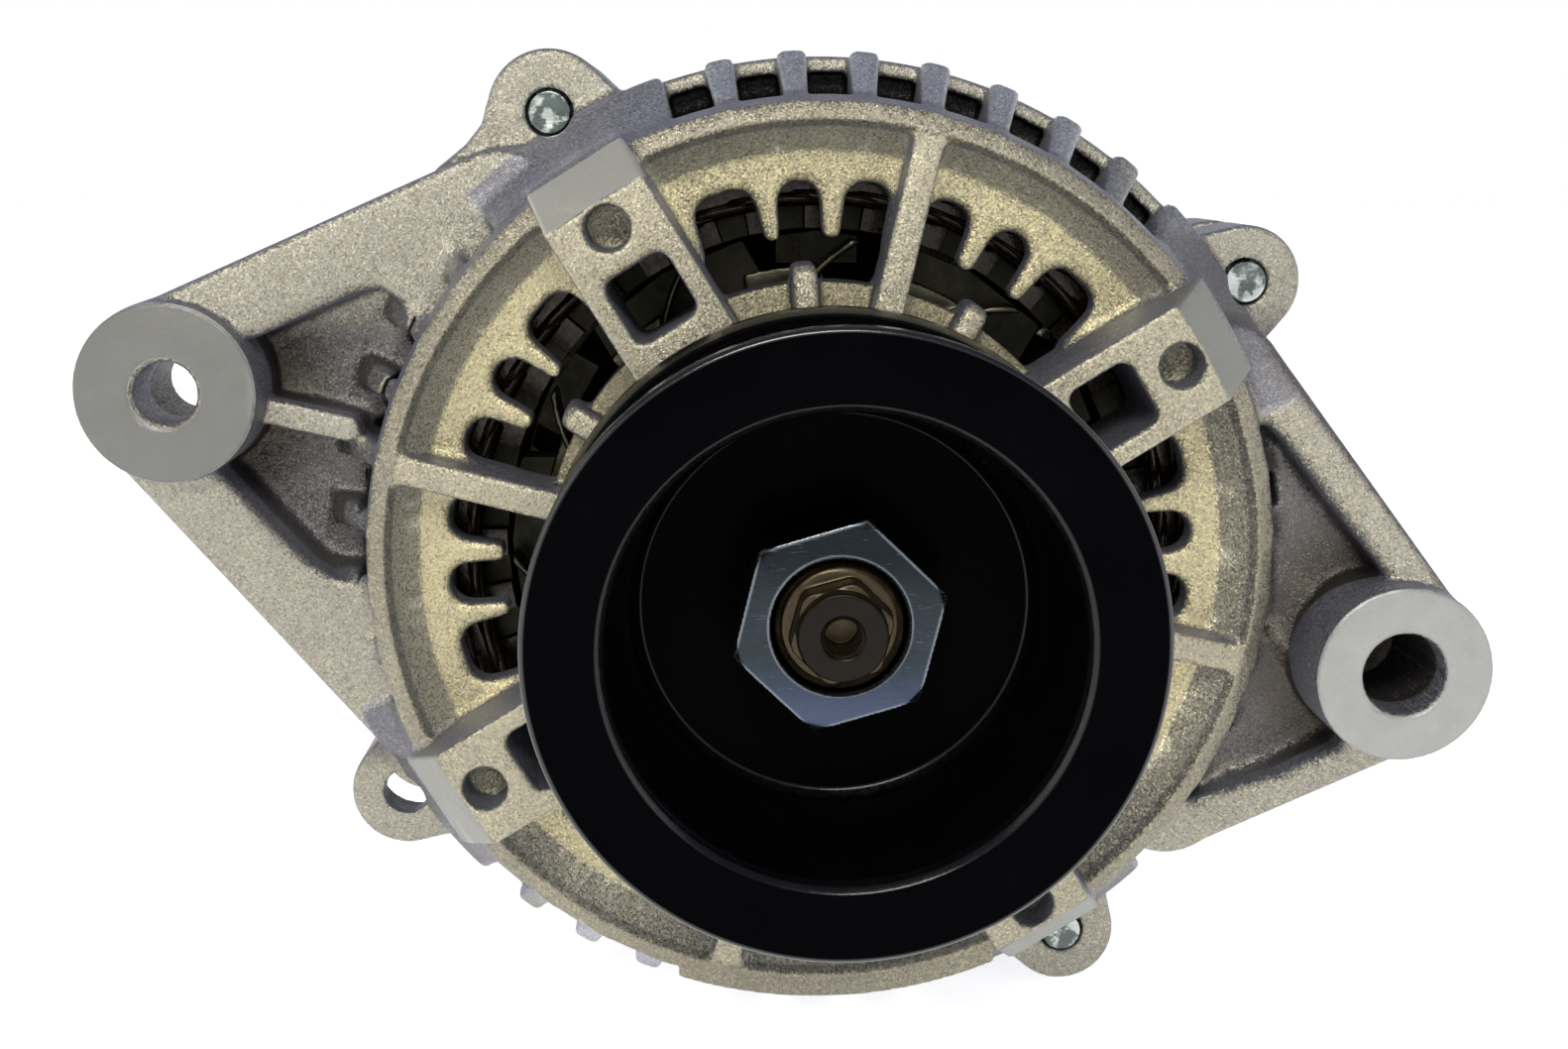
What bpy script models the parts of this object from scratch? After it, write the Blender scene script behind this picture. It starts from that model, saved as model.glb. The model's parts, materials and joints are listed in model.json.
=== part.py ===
"""Compact car alternator with two cooling fans inside and a deep dished belt pulley.

Every sub-part is built in a local frame whose Z axis is the shaft axis, pointing at the
drive end, with X to the right and Y up. The root empty turns that frame so that the shaft
lies along the world Y axis, the pulley faces -Y and up is +Z. The origin is on the shaft
axis, at the back face of the rear cover. Radii and heights below are in millimetres.
"""
import math

import bmesh
import bpy
from mathutils import Matrix, Vector

MM = 0.001
GAP = 0.3            # clearance kept between touching pieces
STEPS = 40           # sides of the large turned shapes
SMALL_STEPS = 14     # sides of the small turned shapes
MERGE = 0.00001

# angles of the drive-end casting, counter-clockwise seen from the pulley
ARM_ANGLES = (31.5, 121.5, 211.5, 301.5)
RIB_ANGLES = (76.5, 166.5, 256.5, 346.5)

# heights along the shaft, measured from the back face of the rear cover
CORE_BACK = 46.0
CORE_FRONT = 72.0
FLANGE_BACK = 66.0
FLANGE_FRONT = 75.0
PLATE_BACK = 81.5
PLATE_FRONT = 86.5
LIP = 92.0
ARM_FACE = 101.0
HUB_FACE = 103.0
REAR_FLANGE_BACK = 42.5
REAR_FLANGE_FRONT = 52.0
REAR_PLATE_BACK = 28.0
REAR_PLATE_FRONT = 33.0
COVER_EDGE = 27.0

# radii of the housing
CORE_R = 64.5
CORE_BORE_R = 46.3
LIP_R = 64.0
FLANGE_R = 70.5
WALL_R = 60.0
SLOT_OUTER_R = 53.3
FINGER_R = 45.5
HUB_WEB_R = 39.5
FIN_R = 71.3
FIN_PITCH = 8.4
WINDOW_WIDTH = 6.1
ARM_WIDTH = 15.2
RIB_WIDTH = 4.2

# fasteners
BOLT_CIRCLE_R = 73.5
BOLT_R = 3.3
LUG_R = {31.5: 8.2, 121.5: 8.9, 211.5: 8.3, 301.5: 8.2}

# mounting ears
ADJUST_EAR = (-90.5, 24.8)
ADJUST_FACE = 91.0
ADJUST_BACK = 72.0
ADJUST_BORE_R = 4.3
PIVOT_EAR = (80.4, -14.2)
PIVOT_FACE = 101.0
PIVOT_BACK = 76.0
PIVOT_BORE_R = 5.8
EAR_R = 12.5
REAR_EAR_FRONT = 46.0
REAR_EAR_BACK = 26.0
BUSH_OUTER_R = 7.2

# rotor
SHAFT_R = 8.5
ROTOR_R = 45.7
PULLEY_FRONT = 139.5
PULLEY_BACK = 109.7
PULLEY_R = 38.1
DISH_R = 28.3
DISH_FLOOR = 113.9
DISH_FLOOR_R = 26.1
NUT_TOP = 125.9
NUT_FLATS = 24.0
NUT_BORE_R = 8.7
SHAFT_TIP = 131.4
BEARING_OUTER_R = 23.5
BEARING_BACK = 80.6
BEARING_FRONT = 94.6
REAR_BEARING_R = 16.0
REAR_BEARING_BACK = 26.5
REAR_BEARING_FRONT = 36.5

# rear chamber
RING_R = 7.6
BRUSH_WIDTH = 4.6
BRUSH_DEPTH = 6.4
BRUSH_TIP = 8.0
BRUSH_LENGTH = 12.0
SPRING_TOP = 30.0
COVER_SLOT_ANGLES = (30.0, 60.0, 112.0, 180.0, 240.0, 270.0, 300.0)
POST_ANGLES = (90.0, 210.0, 330.0)
POST_CIRCLE_R = 50.0
STUD_ANGLE = 352.0
STUD_CIRCLE_R = 46.0
CONNECTOR_ANGLE = 135.0


def clear_scene():
    for item in list(bpy.data.objects):
        bpy.data.objects.remove(item, do_unlink=True)


def new_collection(name):
    group = bpy.data.collections.new(name)
    bpy.context.scene.collection.children.link(group)
    return group


def polar(radius, angle):
    turn = math.radians(angle)
    return radius * math.cos(turn), radius * math.sin(turn)


def mesh_object(name, mesh):
    item = bpy.data.objects.new(name, mesh)
    PARTS.objects.link(item)
    item.parent = ROOT
    return item


def as_cutter(item):
    item.hide_render = True
    item.display_type = 'WIRE'
    PARTS.objects.unlink(item)
    CUTTERS.objects.link(item)
    return item


def finish_mesh(bm, name):
    bmesh.ops.remove_doubles(bm, verts=bm.verts, dist=MERGE)
    bmesh.ops.recalc_face_normals(bm, faces=bm.faces)
    mesh = bpy.data.meshes.new(name)
    bm.to_mesh(mesh)
    bm.free()
    return mesh


def turned(name, profile, steps=STEPS, center=(0.0, 0.0)):
    """Turn a closed (radius, height) loop round the shaft axis, or round center."""
    bm = bmesh.new()
    verts = [bm.verts.new((r * MM, 0.0, h * MM)) for r, h in profile]
    on_axis = profile[0][0] == 0.0 and profile[-1][0] == 0.0
    pairs = list(zip(verts, verts[1:]))
    if not on_axis:
        pairs.append((verts[-1], verts[0]))
    for first, second in pairs:
        bm.edges.new((first, second))
    mesh = bpy.data.meshes.new(name)
    bm.to_mesh(mesh)
    bm.free()
    item = mesh_object(name, mesh)
    item.location = (center[0] * MM, center[1] * MM, 0.0)
    screw = item.modifiers.new("Screw", 'SCREW')
    screw.axis = 'Z'
    screw.steps = steps
    screw.render_steps = steps
    screw.use_merge_vertices = True
    screw.merge_threshold = MERGE
    return item


def cylinder(name, radius, low, high, center=(0.0, 0.0), steps=SMALL_STEPS):
    profile = ((0.0, high), (radius, high), (radius, low), (0.0, low))
    return turned(name, profile, steps, center)


def tube(name, outer, inner, low, high, center=(0.0, 0.0), steps=SMALL_STEPS):
    profile = ((outer, high), (outer, low), (inner, low), (inner, high))
    return turned(name, profile, steps, center)


def add_prism(bm, outline, low, high):
    """Add a closed prism over a flat outline between two heights."""
    base = [bm.verts.new((x * MM, y * MM, low * MM)) for x, y in outline]
    top = [bm.verts.new((x * MM, y * MM, high * MM)) for x, y in outline]
    bm.faces.new(base)
    bm.faces.new(top)
    for i in range(len(outline)):
        j = (i + 1) % len(outline)
        bm.faces.new((base[i], base[j], top[j], top[i]))


def prism(name, outlines, low, high):
    bm = bmesh.new()
    for outline in outlines:
        add_prism(bm, outline, low, high)
    return mesh_object(name, finish_mesh(bm, name))


def slabs(name, outline, width, angles):
    """Radial slabs: a (radius, height) outline with a sideways width, at each angle."""
    bm = bmesh.new()
    for angle in angles:
        turn = Matrix.Rotation(math.radians(angle), 4, 'Z')
        sides = []
        for side in (-0.5, 0.5):
            ring = [turn @ Vector((r * MM, side * width * MM, h * MM)) for r, h in outline]
            sides.append([bm.verts.new(point) for point in ring])
        bm.faces.new(sides[0])
        bm.faces.new(sides[1])
        for i in range(len(outline)):
            j = (i + 1) % len(outline)
            bm.faces.new((sides[0][i], sides[0][j], sides[1][j], sides[1][i]))
    return mesh_object(name, finish_mesh(bm, name))


def circle_points(center, radius, count):
    return [(center[0] + radius * math.cos(2.0 * math.pi * i / count),
             center[1] + radius * math.sin(2.0 * math.pi * i / count)) for i in range(count)]


def hull(name, circles, count=12):
    """Convex skin round circles, each given as (x, y, radius, low, high)."""
    bm = bmesh.new()
    for x, y, radius, low, high in circles:
        for px, py in circle_points((x, y), radius, count):
            bm.verts.new((px * MM, py * MM, low * MM))
            bm.verts.new((px * MM, py * MM, high * MM))
    result = bmesh.ops.convex_hull(bm, input=bm.verts)
    spare = [v for v in set(result["geom_interior"] + result["geom_unused"])
             if isinstance(v, bmesh.types.BMVert)]
    bmesh.ops.delete(bm, geom=spare, context='VERTS')
    bmesh.ops.dissolve_limit(bm, angle_limit=0.002, verts=bm.verts, edges=bm.edges)
    return mesh_object(name, finish_mesh(bm, name))


def rounded_slot(inner, outer, width, corner, angle):
    """Outline of a radial slot with a rounded outer end, round the shaft axis."""
    half = width / 2.0
    points = [(inner, -half), (outer - corner, -half)]
    for i in range(1, 3):
        turn = -math.pi / 2.0 + i * math.pi / 4.0
        points.append((outer - corner + corner * math.cos(turn), -half + corner + corner * math.sin(turn)))
    if half > corner:
        points.append((outer, half - corner))
    for i in range(1, 3):
        turn = i * math.pi / 4.0
        points.append((outer - corner + corner * math.cos(turn), half - corner + corner * math.sin(turn)))
    points.append((inner, half))
    turn = math.radians(angle)
    return [(x * math.cos(turn) - y * math.sin(turn), x * math.sin(turn) + y * math.cos(turn))
            for x, y in points]


def box_outline(center, size, angle=0.0):
    turn = math.radians(angle)
    corners = ((-0.5, -0.5), (0.5, -0.5), (0.5, 0.5), (-0.5, 0.5))
    local = [(sx * size[0], sy * size[1]) for sx, sy in corners]
    return [(center[0] + x * math.cos(turn) - y * math.sin(turn),
             center[1] + x * math.sin(turn) + y * math.cos(turn)) for x, y in local]


def box(name, center, size, low, high, angle=0.0):
    return prism(name, [box_outline(center, size, angle)], low, high)


def boolean(base, operand, operation):
    modifier = base.modifiers.new(operation.title(), 'BOOLEAN')
    modifier.operation = operation
    modifier.solver = 'EXACT'
    modifier.object = as_cutter(operand)
    return base


def join(base, operand):
    return boolean(base, operand, 'UNION')


def cut(base, operand):
    return boolean(base, operand, 'DIFFERENCE')


def material(name, color, metallic, roughness):
    surface = bpy.data.materials.new(name)
    surface.use_nodes = True
    shader = surface.node_tree.nodes["Principled BSDF"]
    shader.inputs["Base Color"].default_value = (*color, 1.0)
    shader.inputs["Metallic"].default_value = metallic
    shader.inputs["Roughness"].default_value = roughness
    surface.diffuse_color = (*color, 1.0)
    return surface


def paint(item, surface):
    item.data.materials.append(MATERIALS[surface])
    return item


def make_materials():
    return {
        "cast": material("cast_aluminium", (0.62, 0.58, 0.48), 1.0, 0.45),
        "black": material("black_paint", (0.008, 0.009, 0.010), 0.0, 0.28),
        "zinc": material("zinc_plating", (0.60, 0.66, 0.72), 1.0, 0.25),
        "bronze": material("yellow_plating", (0.42, 0.30, 0.14), 1.0, 0.35),
        "steel": material("steel", (0.45, 0.45, 0.45), 1.0, 0.35),
        "lamination": material("lamination_steel", (0.12, 0.12, 0.13), 0.9, 0.5),
        "copper": material("enamelled_copper", (0.50, 0.20, 0.06), 0.9, 0.35),
        "ring": material("slip_ring_copper", (0.75, 0.38, 0.20), 1.0, 0.2),
        "resin": material("black_resin", (0.02, 0.02, 0.022), 0.0, 0.5),
        "sheet": material("plated_sheet", (0.50, 0.52, 0.54), 1.0, 0.4),
        "sink": material("bare_aluminium", (0.70, 0.71, 0.72), 1.0, 0.35),
        "carbon": material("brush_carbon", (0.03, 0.03, 0.03), 0.2, 0.6),
    }


def adjust_ear():
    """The ear at the upper left: a boss on two arms with a shallow pocket between."""
    ear_x, ear_y = ADJUST_EAR
    ear = hull("adjust_ear_upper", ((ear_x, ear_y, 12.3, 73.0, 89.8), (-45.0, 47.0, 10.6, 66.0, 81.0)))
    lower = hull("adjust_ear_lower", ((ear_x, ear_y, 12.3, 73.0, 89.8), (-60.0, -24.0, 7.0, 66.0, 82.0)))
    web = hull("adjust_ear_web", ((ear_x, ear_y, 11.8, 72.5, 76.0), (-52.0, 40.0, 10.0, 68.0, 76.0),
                                  (-58.0, -14.0, 8.0, 68.0, 76.0)))
    pocket = ((-92.0, 29.0), (-78.5, 32.0), (-64.5, 38.0), (-61.8, 38.4), (-59.5, 36.8),
              (-52.0, 24.0), (-58.0, -3.4), (-67.0, -3.4), (-70.4, -2.4), (-73.3, -0.2),
              (-79.1, 6.5), (-86.0, 15.0))
    join(ear, lower)
    cut(ear, prism("adjust_ear_pocket", [pocket], 60.0, 95.0))
    join(ear, web)
    join(ear, box("adjust_ear_rib", (-71.0, 19.6), (20.0, 2.3), 72.0, 84.0, -14.0))
    return join(ear, cylinder("adjust_ear_boss", EAR_R, ADJUST_BACK, ADJUST_FACE, ADJUST_EAR, 26))


def pivot_ear():
    """The ear at the right: a boss standing forward on two arms, with a pocket between."""
    ear_x, ear_y = PIVOT_EAR
    ear = hull("pivot_ear_upper", ((ear_x, ear_y, 11.9, 86.5, 99.6), (57.5, 24.9, 8.6, 66.0, 86.2)))
    lower = hull("pivot_ear_lower", ((ear_x, ear_y, 11.9, 86.5, 99.6), (51.8, -36.6, 9.3, 66.0, 86.2)))
    web = hull("pivot_ear_web", ((ear_x, ear_y, 11.2, 83.0, 89.5), (56.0, 22.0, 8.0, 74.0, 81.0),
                                 (50.0, -34.0, 8.0, 74.0, 81.0)))
    pocket = ((50.0, 26.0), (61.5, 20.5), (65.1, 17.1), (72.4, 7.3), (77.6, 0.4), (78.8, -1.5), (78.0, -4.6),
              (80.0, -14.0), (75.0, -24.5), (73.6, -26.8), (66.2, -32.0), (54.2, -37.4), (46.0, -20.0))
    join(ear, lower)
    cut(ear, prism("pivot_ear_pocket", [pocket], 60.0, 110.0))
    join(ear, web)
    return join(ear, cylinder("pivot_ear_boss", EAR_R, PIVOT_BACK, PIVOT_FACE, PIVOT_EAR, 26))


def bolt_lugs(name, low, high):
    """Four bolt lugs, each faired into the flange."""
    lugs = None
    for angle in ARM_ANGLES:
        x, y = polar(BOLT_CIRCLE_R, angle)
        root_x, root_y = polar(60.0, angle)
        lug = hull(name, ((x, y, LUG_R[angle], low, high), (root_x, root_y, 12.5, low, high)))
        lugs = lug if lugs is None else join(lugs, lug)
    return lugs


def drive_end_shell():
    """Flange, side wall, lip and front plate of the drive-end casting in one turned loop."""
    return turned("drive_end_frame", (
        (61.6, LIP), (LIP_R, 90.8), (64.9, 86.6), (FIN_R, 78.4), (FIN_R, FLANGE_FRONT),
        (FLANGE_R, FLANGE_FRONT), (FLANGE_R, FLANGE_BACK), (CORE_R + GAP, FLANGE_BACK),
        (CORE_R + GAP, CORE_FRONT + GAP), (60.8, CORE_FRONT + GAP), (57.9, PLATE_BACK),
        (FINGER_R, PLATE_BACK), (FINGER_R, PLATE_FRONT), (57.4, PLATE_FRONT)))


def vent_windows():
    """Openings in the side wall, eight a quarter, which leave the cooling fins between them."""
    outline = ((56.0, 72.1), (66.6, 72.1), (66.6, FLANGE_FRONT + 0.02), (78.0, FLANGE_FRONT + 0.02),
               (78.0, 94.0), (LIP_R, 94.0), (LIP_R, 84.4), (56.0, 80.8))
    angles = [rib + FIN_PITCH * (k - 3.5) for rib in RIB_ANGLES for k in range(8)]
    return slabs("vent_windows", outline, WINDOW_WIDTH, angles)


def plate_slots():
    """Slots in the front plate between the fingers, three on each side of every rib."""
    outlines = []
    for rib in RIB_ANGLES:
        for side in (-1.0, 1.0):
            outlines.append(rounded_slot(42.0, SLOT_OUTER_R, 6.6, 3.0, rib + side * 6.3))
            outlines.append(rounded_slot(42.0, SLOT_OUTER_R, 5.9, 2.9, rib + side * 17.3))
            outlines.append(rounded_slot(42.0, SLOT_OUTER_R, 8.6, 2.9, rib + side * 29.0))
    return prism("plate_slots", outlines, 80.0, 88.0)


def housing_inside():
    """The room for the stator and rotor, which the ears and lugs must not reach into."""
    return turned("housing_inside", (
        (0.0, 81.4), (57.8, 81.4), (60.7, 72.2), (CORE_R + 0.22, 72.2), (CORE_R + 0.22, 50.0),
        (0.0, 50.0)))


def bottom_bulge():
    """The thicker stretch of rim at the bottom of the casting."""
    angles = [251.0 + 42.0 * i / 7.0 for i in range(8)]
    outline = [polar(65.5, angle) for angle in angles]
    outline += [polar(61.6, angle) for angle in reversed(angles)]
    return prism("bottom_bulge", [outline], 80.0, 91.2)


def square_windows():
    """Rounded square windows through the four arms."""
    outlines = []
    half, corner = 4.75, 1.6
    for angle in ARM_ANGLES:
        outline = []
        for quarter in range(4):
            for i in range(2):
                turn = math.radians(angle + quarter * 90.0 + 22.5 + i * 45.0)
                side = math.radians(angle + quarter * 90.0 + 45.0)
                reach = (half - corner) * math.sqrt(2.0)
                center = polar(44.9, angle)
                outline.append((center[0] + reach * math.cos(side) + corner * math.cos(turn),
                                center[1] + reach * math.sin(side) + corner * math.sin(turn)))
        outlines.append(outline)
    return prism("square_windows", outlines, 75.0, 106.0)


def bearing_hub():
    """The boss that holds the drive-end bearing, and its thin web."""
    bore = BEARING_OUTER_R + GAP
    return turned("bearing_hub", (
        (32.0, HUB_FACE), (32.0, 88.0), (HUB_WEB_R, 87.2), (HUB_WEB_R, 80.0), (bore, 80.0),
        (bore, BEARING_FRONT + GAP), (15.5, BEARING_FRONT + GAP), (15.5, HUB_FACE)), 32)


def drive_end_frame():
    frame = drive_end_shell()
    cut(frame, vent_windows())
    join(frame, bottom_bulge())
    join(frame, bolt_lugs("front_lug", 62.0, FLANGE_FRONT))
    join(frame, adjust_ear())
    join(frame, pivot_ear())
    cut(frame, housing_inside())
    cut(frame, plate_slots())
    join(frame, slabs("rib", ((28.5, PLATE_BACK), (58.0, PLATE_BACK), (61.6, 85.4), (61.6, 90.8), (60.4, 91.9),
                              (28.5, 94.5)), RIB_WIDTH, RIB_ANGLES))
    join(frame, slabs("stub", ((30.0, PLATE_BACK), (41.2, PLATE_BACK), (42.0, 82.5), (42.0, 89.0),
                               (41.0, 90.5), (30.0, 91.5)), 3.7,
                      [rib + side for rib in RIB_ANGLES for side in (-17.4, 17.4)]))
    join(frame, slabs("arm", ((28.0, PLATE_BACK), (58.0, PLATE_BACK), (60.4, 78.0), (60.4, 74.5), (65.4, 74.5),
                              (65.6, 90.8), (64.8, 92.4), (58.9, ARM_FACE), (28.0, ARM_FACE)),
                      ARM_WIDTH, ARM_ANGLES))
    join(frame, bearing_hub())
    cut(frame, square_windows())
    for angle in ARM_ANGLES:
        cut(frame, turned("blind_hole", ((0.0, 105.0), (3.05, 105.0), (3.05, 94.8), (0.0, 93.2)), 12,
                          polar(55.6, angle)))
        cut(frame, cylinder("bolt_hole", BOLT_R + GAP, 55.0, 80.0, polar(BOLT_CIRCLE_R, angle), 12))
    cut(frame, turned("adjust_bore", ((0.0, 93.0), (7.2, 93.0), (ADJUST_BORE_R, 90.1), (ADJUST_BORE_R, 60.0),
                                      (0.0, 60.0)), 20, ADJUST_EAR))
    cut(frame, cylinder("pivot_bore", PIVOT_BORE_R, 60.0, 106.0, PIVOT_EAR, 20))
    return paint(frame, "cast")


def rear_shell():
    """Flange, side wall, plate and bearing boss of the rear casting in one turned loop."""
    bore = REAR_BEARING_R + GAP
    return turned("rear_end_frame", (
        (FLANGE_R, REAR_FLANGE_FRONT), (FLANGE_R, 43.5), (67.2, REAR_FLANGE_BACK),
        (62.4, REAR_PLATE_BACK), (20.5, REAR_PLATE_BACK), (20.5, 24.4), (12.6, 24.4),
        (12.6, REAR_BEARING_BACK - GAP), (bore, REAR_BEARING_BACK - GAP), (bore, 37.4), (20.5, 37.4),
        (20.5, REAR_PLATE_FRONT), (56.5, REAR_PLATE_FRONT), (59.6, 36.0), (59.6, CORE_BACK - GAP),
        (CORE_R + GAP, CORE_BACK - GAP), (CORE_R + GAP, REAR_FLANGE_FRONT)), 36)


def rear_pivot_ear():
    ear_x, ear_y = PIVOT_EAR
    upper = hull("rear_ear_upper", ((ear_x, ear_y, 11.4, 30.4, 45.6), (60.0, 8.0, 6.4, 35.7, 49.4)))
    lower = hull("rear_ear_lower", ((ear_x, ear_y, 11.4, 30.4, 45.6), (54.0, -30.0, 6.4, 35.7, 49.4)))
    join(upper, lower)
    return join(upper, cylinder("rear_ear_boss", 12.0, REAR_EAR_BACK, REAR_EAR_FRONT, PIVOT_EAR, 24))


def rear_inside():
    """The room inside the rear casting, which its ear and lugs must not reach into."""
    return turned("rear_inside", (
        (0.0, 70.0), (CORE_R + 0.22, 70.0), (CORE_R + 0.22, 45.8), (59.5, 45.8), (59.5, 36.0), (56.3, 33.1),
        (0.0, 33.1)))


def rear_end_frame():
    frame = rear_shell()
    slots = [rounded_slot(26.0, 52.0, 6.0, 2.9, angle) for angle in COVER_SLOT_ANGLES]
    windows = slabs("rear_windows", ((56.0, 36.4), (76.0, 36.4), (76.0, 41.6), (56.0, 41.6)), 10.0,
                    [rib + 15.0 * (k - 1) for rib in RIB_ANGLES for k in range(3)])
    ear = rear_pivot_ear()
    cut(ear, rear_inside())
    cut(frame, windows)
    join(frame, bolt_lugs_rear())
    join(frame, ear)
    cut(frame, prism("rear_slots", slots, 20.0, 35.0))
    for angle in ARM_ANGLES:
        cut(frame, cylinder("rear_bolt_hole", BOLT_R + GAP, 35.0, 60.0, polar(BOLT_CIRCLE_R, angle), 12))
    for angle in POST_ANGLES:
        join(frame, turned("cover_post", ((0.0, 29.0), (3.2, 29.0), (3.2, 6.8), (2.1, 6.8), (2.1, 0.9),
                                          (0.0, 0.9)), 10, polar(POST_CIRCLE_R, angle)))
    cut(frame, cylinder("rear_ear_bore", BUSH_OUTER_R + GAP, 20.0, 60.0, PIVOT_EAR, SMALL_STEPS))
    return paint(frame, "cast")


def bolt_lugs_rear():
    """The lugs that the bolt heads bear on, cleared for the stator core."""
    lugs = bolt_lugs("rear_lug", REAR_FLANGE_BACK, 56.0)
    return cut(lugs, rear_inside())


def rear_cover():
    cover = turned("rear_cover", (
        (0.0, 1.2), (30.2, 1.2), (33.4, 5.8), (58.4, 6.0), (61.3, 9.4), (61.3, COVER_EDGE),
        (62.5, COVER_EDGE), (62.5, 9.0), (59.0, 4.8), (33.9, 4.6), (30.9, 0.0), (0.0, 0.0)), 32)
    slots = [rounded_slot(37.5, 56.0, 5.0, 2.4, angle) for angle in COVER_SLOT_ANGLES]
    cut(cover, prism("cover_slots", slots, -4.0, 9.0))
    for angle in POST_ANGLES:
        cut(cover, cylinder("cover_stud_hole", 2.6, -4.0, 9.0, polar(POST_CIRCLE_R, angle), 10))
    cut(cover, cylinder("cover_terminal_hole", 7.8, -4.0, 9.0, STUD_CENTER, 16))
    cut(cover, box("cover_connector_hole", polar(62.0, CONNECTOR_ANGLE), (8.0, 21.0), 5.6, 40.0, CONNECTOR_ANGLE))
    return paint(cover, "sheet")


def cover_nuts():
    for number, angle in enumerate(POST_ANGLES, 1):
        nut = hexagon("cover_nut_%d" % number, 8.0, 1.0, 4.0, polar(POST_CIRCLE_R, angle), 30.0)
        cut(nut, cylinder("cover_nut_bore", 2.4, -1.0, 6.0, polar(POST_CIRCLE_R, angle), 10))
        paint(nut, "zinc")


def hexagon(name, flats, low, high, center=(0.0, 0.0), angle=0.0):
    """Hexagonal prism; a corner points at angle from the X axis."""
    radius = flats / math.sqrt(3.0)
    outline = []
    for i in range(6):
        x, y = polar(radius, angle + 60.0 * i)
        outline.append((center[0] + x, center[1] + y))
    return prism(name, [outline], low, high)


def stator_core():
    core = tube("stator_core", CORE_R, CORE_BORE_R, CORE_BACK, CORE_FRONT, steps=36)
    slot = ((40.0, 40.0), (58.6, 40.0), (58.6, 80.0), (40.0, 80.0))
    cut(core, slabs("core_slots", slot, 4.4, [10.0 * k for k in range(36)]))
    return paint(core, "lamination")


def stator_winding():
    """Three-phase winding: the bars in the core slots and the end turns on both sides."""
    winding = tube("stator_winding", 57.6, 48.8, CORE_FRONT + 1.0, 79.4, steps=36)
    bar = ((49.3, 40.0), (57.1, 40.0), (57.1, 78.0), (49.3, 78.0))
    join(winding, slabs("winding_bars", bar, 3.7, [10.0 * k for k in range(36)]))
    join(winding, tube("winding_rear", 57.6, 48.8, 38.4, CORE_BACK - 1.0, steps=36))
    return paint(winding, "copper")


def rotor_shaft():
    shaft = turned("rotor_shaft", (
        (0.0, SHAFT_TIP), (5.0, SHAFT_TIP), (5.5, 130.7), (5.5, 127.6),
        (8.1, 126.8), (8.1, 103.8), (SHAFT_R, 103.8), (SHAFT_R, 80.2), (11.5, 80.2),
        (11.5, 75.4), (9.4, 75.4), (9.4, 40.9), (8.0, 40.9), (8.0, 36.9), (6.0, 36.9), (6.0, 23.9),
        (4.4, 23.9), (4.4, 5.6), (0.0, 5.6)), 20)
    join(shaft, hexagon("shaft_hexagon", 11.6, 126.0, 129.6, (0.0, 0.0), 15.0))
    cut(shaft, turned("centre_hole", ((0.0, 134.0), (2.15, 134.0), (2.15, 126.0), (0.0, 124.8)), 12))
    return paint(shaft, "bronze")


def claw_fingers(name, root_low, root_high, tip, first_angle):
    """Six tapered pole fingers, wide at the pole disc and narrow at the far end."""
    bm = bmesh.new()
    sections = ((root_low, 12.6, 33.0), (root_high, 12.6, 33.0), (tip, 6.0, 41.0))
    for k in range(6):
        spin = Matrix.Rotation(math.radians(first_angle + 60.0 * k), 4, 'Z')
        rings = []
        for height, half, inner in sections:
            corners = ((inner, -half), (48.0, -half), (48.0, half), (inner, half))
            rings.append([bm.verts.new(spin @ Vector((x * MM, y * MM, height * MM))) for x, y in corners])
        bm.faces.new(rings[0])
        bm.faces.new(rings[2])
        for low, high in zip(rings, rings[1:]):
            for i in range(4):
                j = (i + 1) % 4
                bm.faces.new((low[i], low[j], high[j], high[i]))
    fingers = mesh_object(name, finish_mesh(bm, name))
    return cut(fingers, tube("pole_rim", 60.0, ROTOR_R, 30.0, 90.0, steps=24))


def front_claw_pole():
    pole = turned("front_claw_pole", ((35.0, 72.0), (35.0, 66.0), (14.7, 66.0), (14.7, 59.2), (9.7, 59.2),
                                      (9.7, 72.0)), 24)
    join(pole, claw_fingers("front_fingers", 72.0, 66.0, 49.6, 0.0))
    return paint(pole, "lamination")


def rear_claw_pole():
    pole = turned("rear_claw_pole", ((14.7, 58.8), (14.7, 52.0), (35.0, 52.0), (35.0, 46.2), (9.7, 46.2),
                                     (9.7, 58.8)), 24)
    join(pole, claw_fingers("rear_fingers", 46.2, 52.0, 68.4, 30.0))
    return paint(pole, "lamination")


def field_winding():
    bobbin = turned("coil_bobbin", ((32.4, 65.7), (32.4, 64.7), (16.2, 64.7), (16.2, 53.3), (32.4, 53.3),
                                    (32.4, 52.3), (15.1, 52.3), (15.1, 65.7)), 24)
    paint(bobbin, "resin")
    coil = tube("field_coil", 31.8, 16.5, 53.6, 64.4, steps=24)
    paint(coil, "copper")


def fan(name, plate_low, plate_high, blade_low, blade_high, lean):
    disc = tube(name, 41.0, 12.2, plate_low, plate_high, steps=22)
    bm = bmesh.new()
    for k in range(11):
        start = 360.0 / 11.0 * k
        inner = [polar(31.8 + 13.3 * i / 3.0, start + lean * (i / 3.0) ** 1.4) for i in range(4)]
        outer = [polar(31.8 + 13.3 * i / 3.0, start + 2.2 + lean * (i / 3.0) ** 1.4) for i in range(4)]
        add_prism(bm, inner + outer[::-1], blade_low, blade_high)
    join(disc, mesh_object(name + "_blades", finish_mesh(bm, name + "_blades")))
    return paint(disc, "steel")


def slip_rings():
    paint(tube("slip_ring_insulator", 6.0, 4.7, 5.8, 23.2), "resin")
    paint(tube("slip_ring_inner", RING_R, 6.3, 15.5, 21.0), "ring")
    paint(tube("slip_ring_outer", RING_R, 6.3, 8.0, 13.5), "ring")


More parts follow.
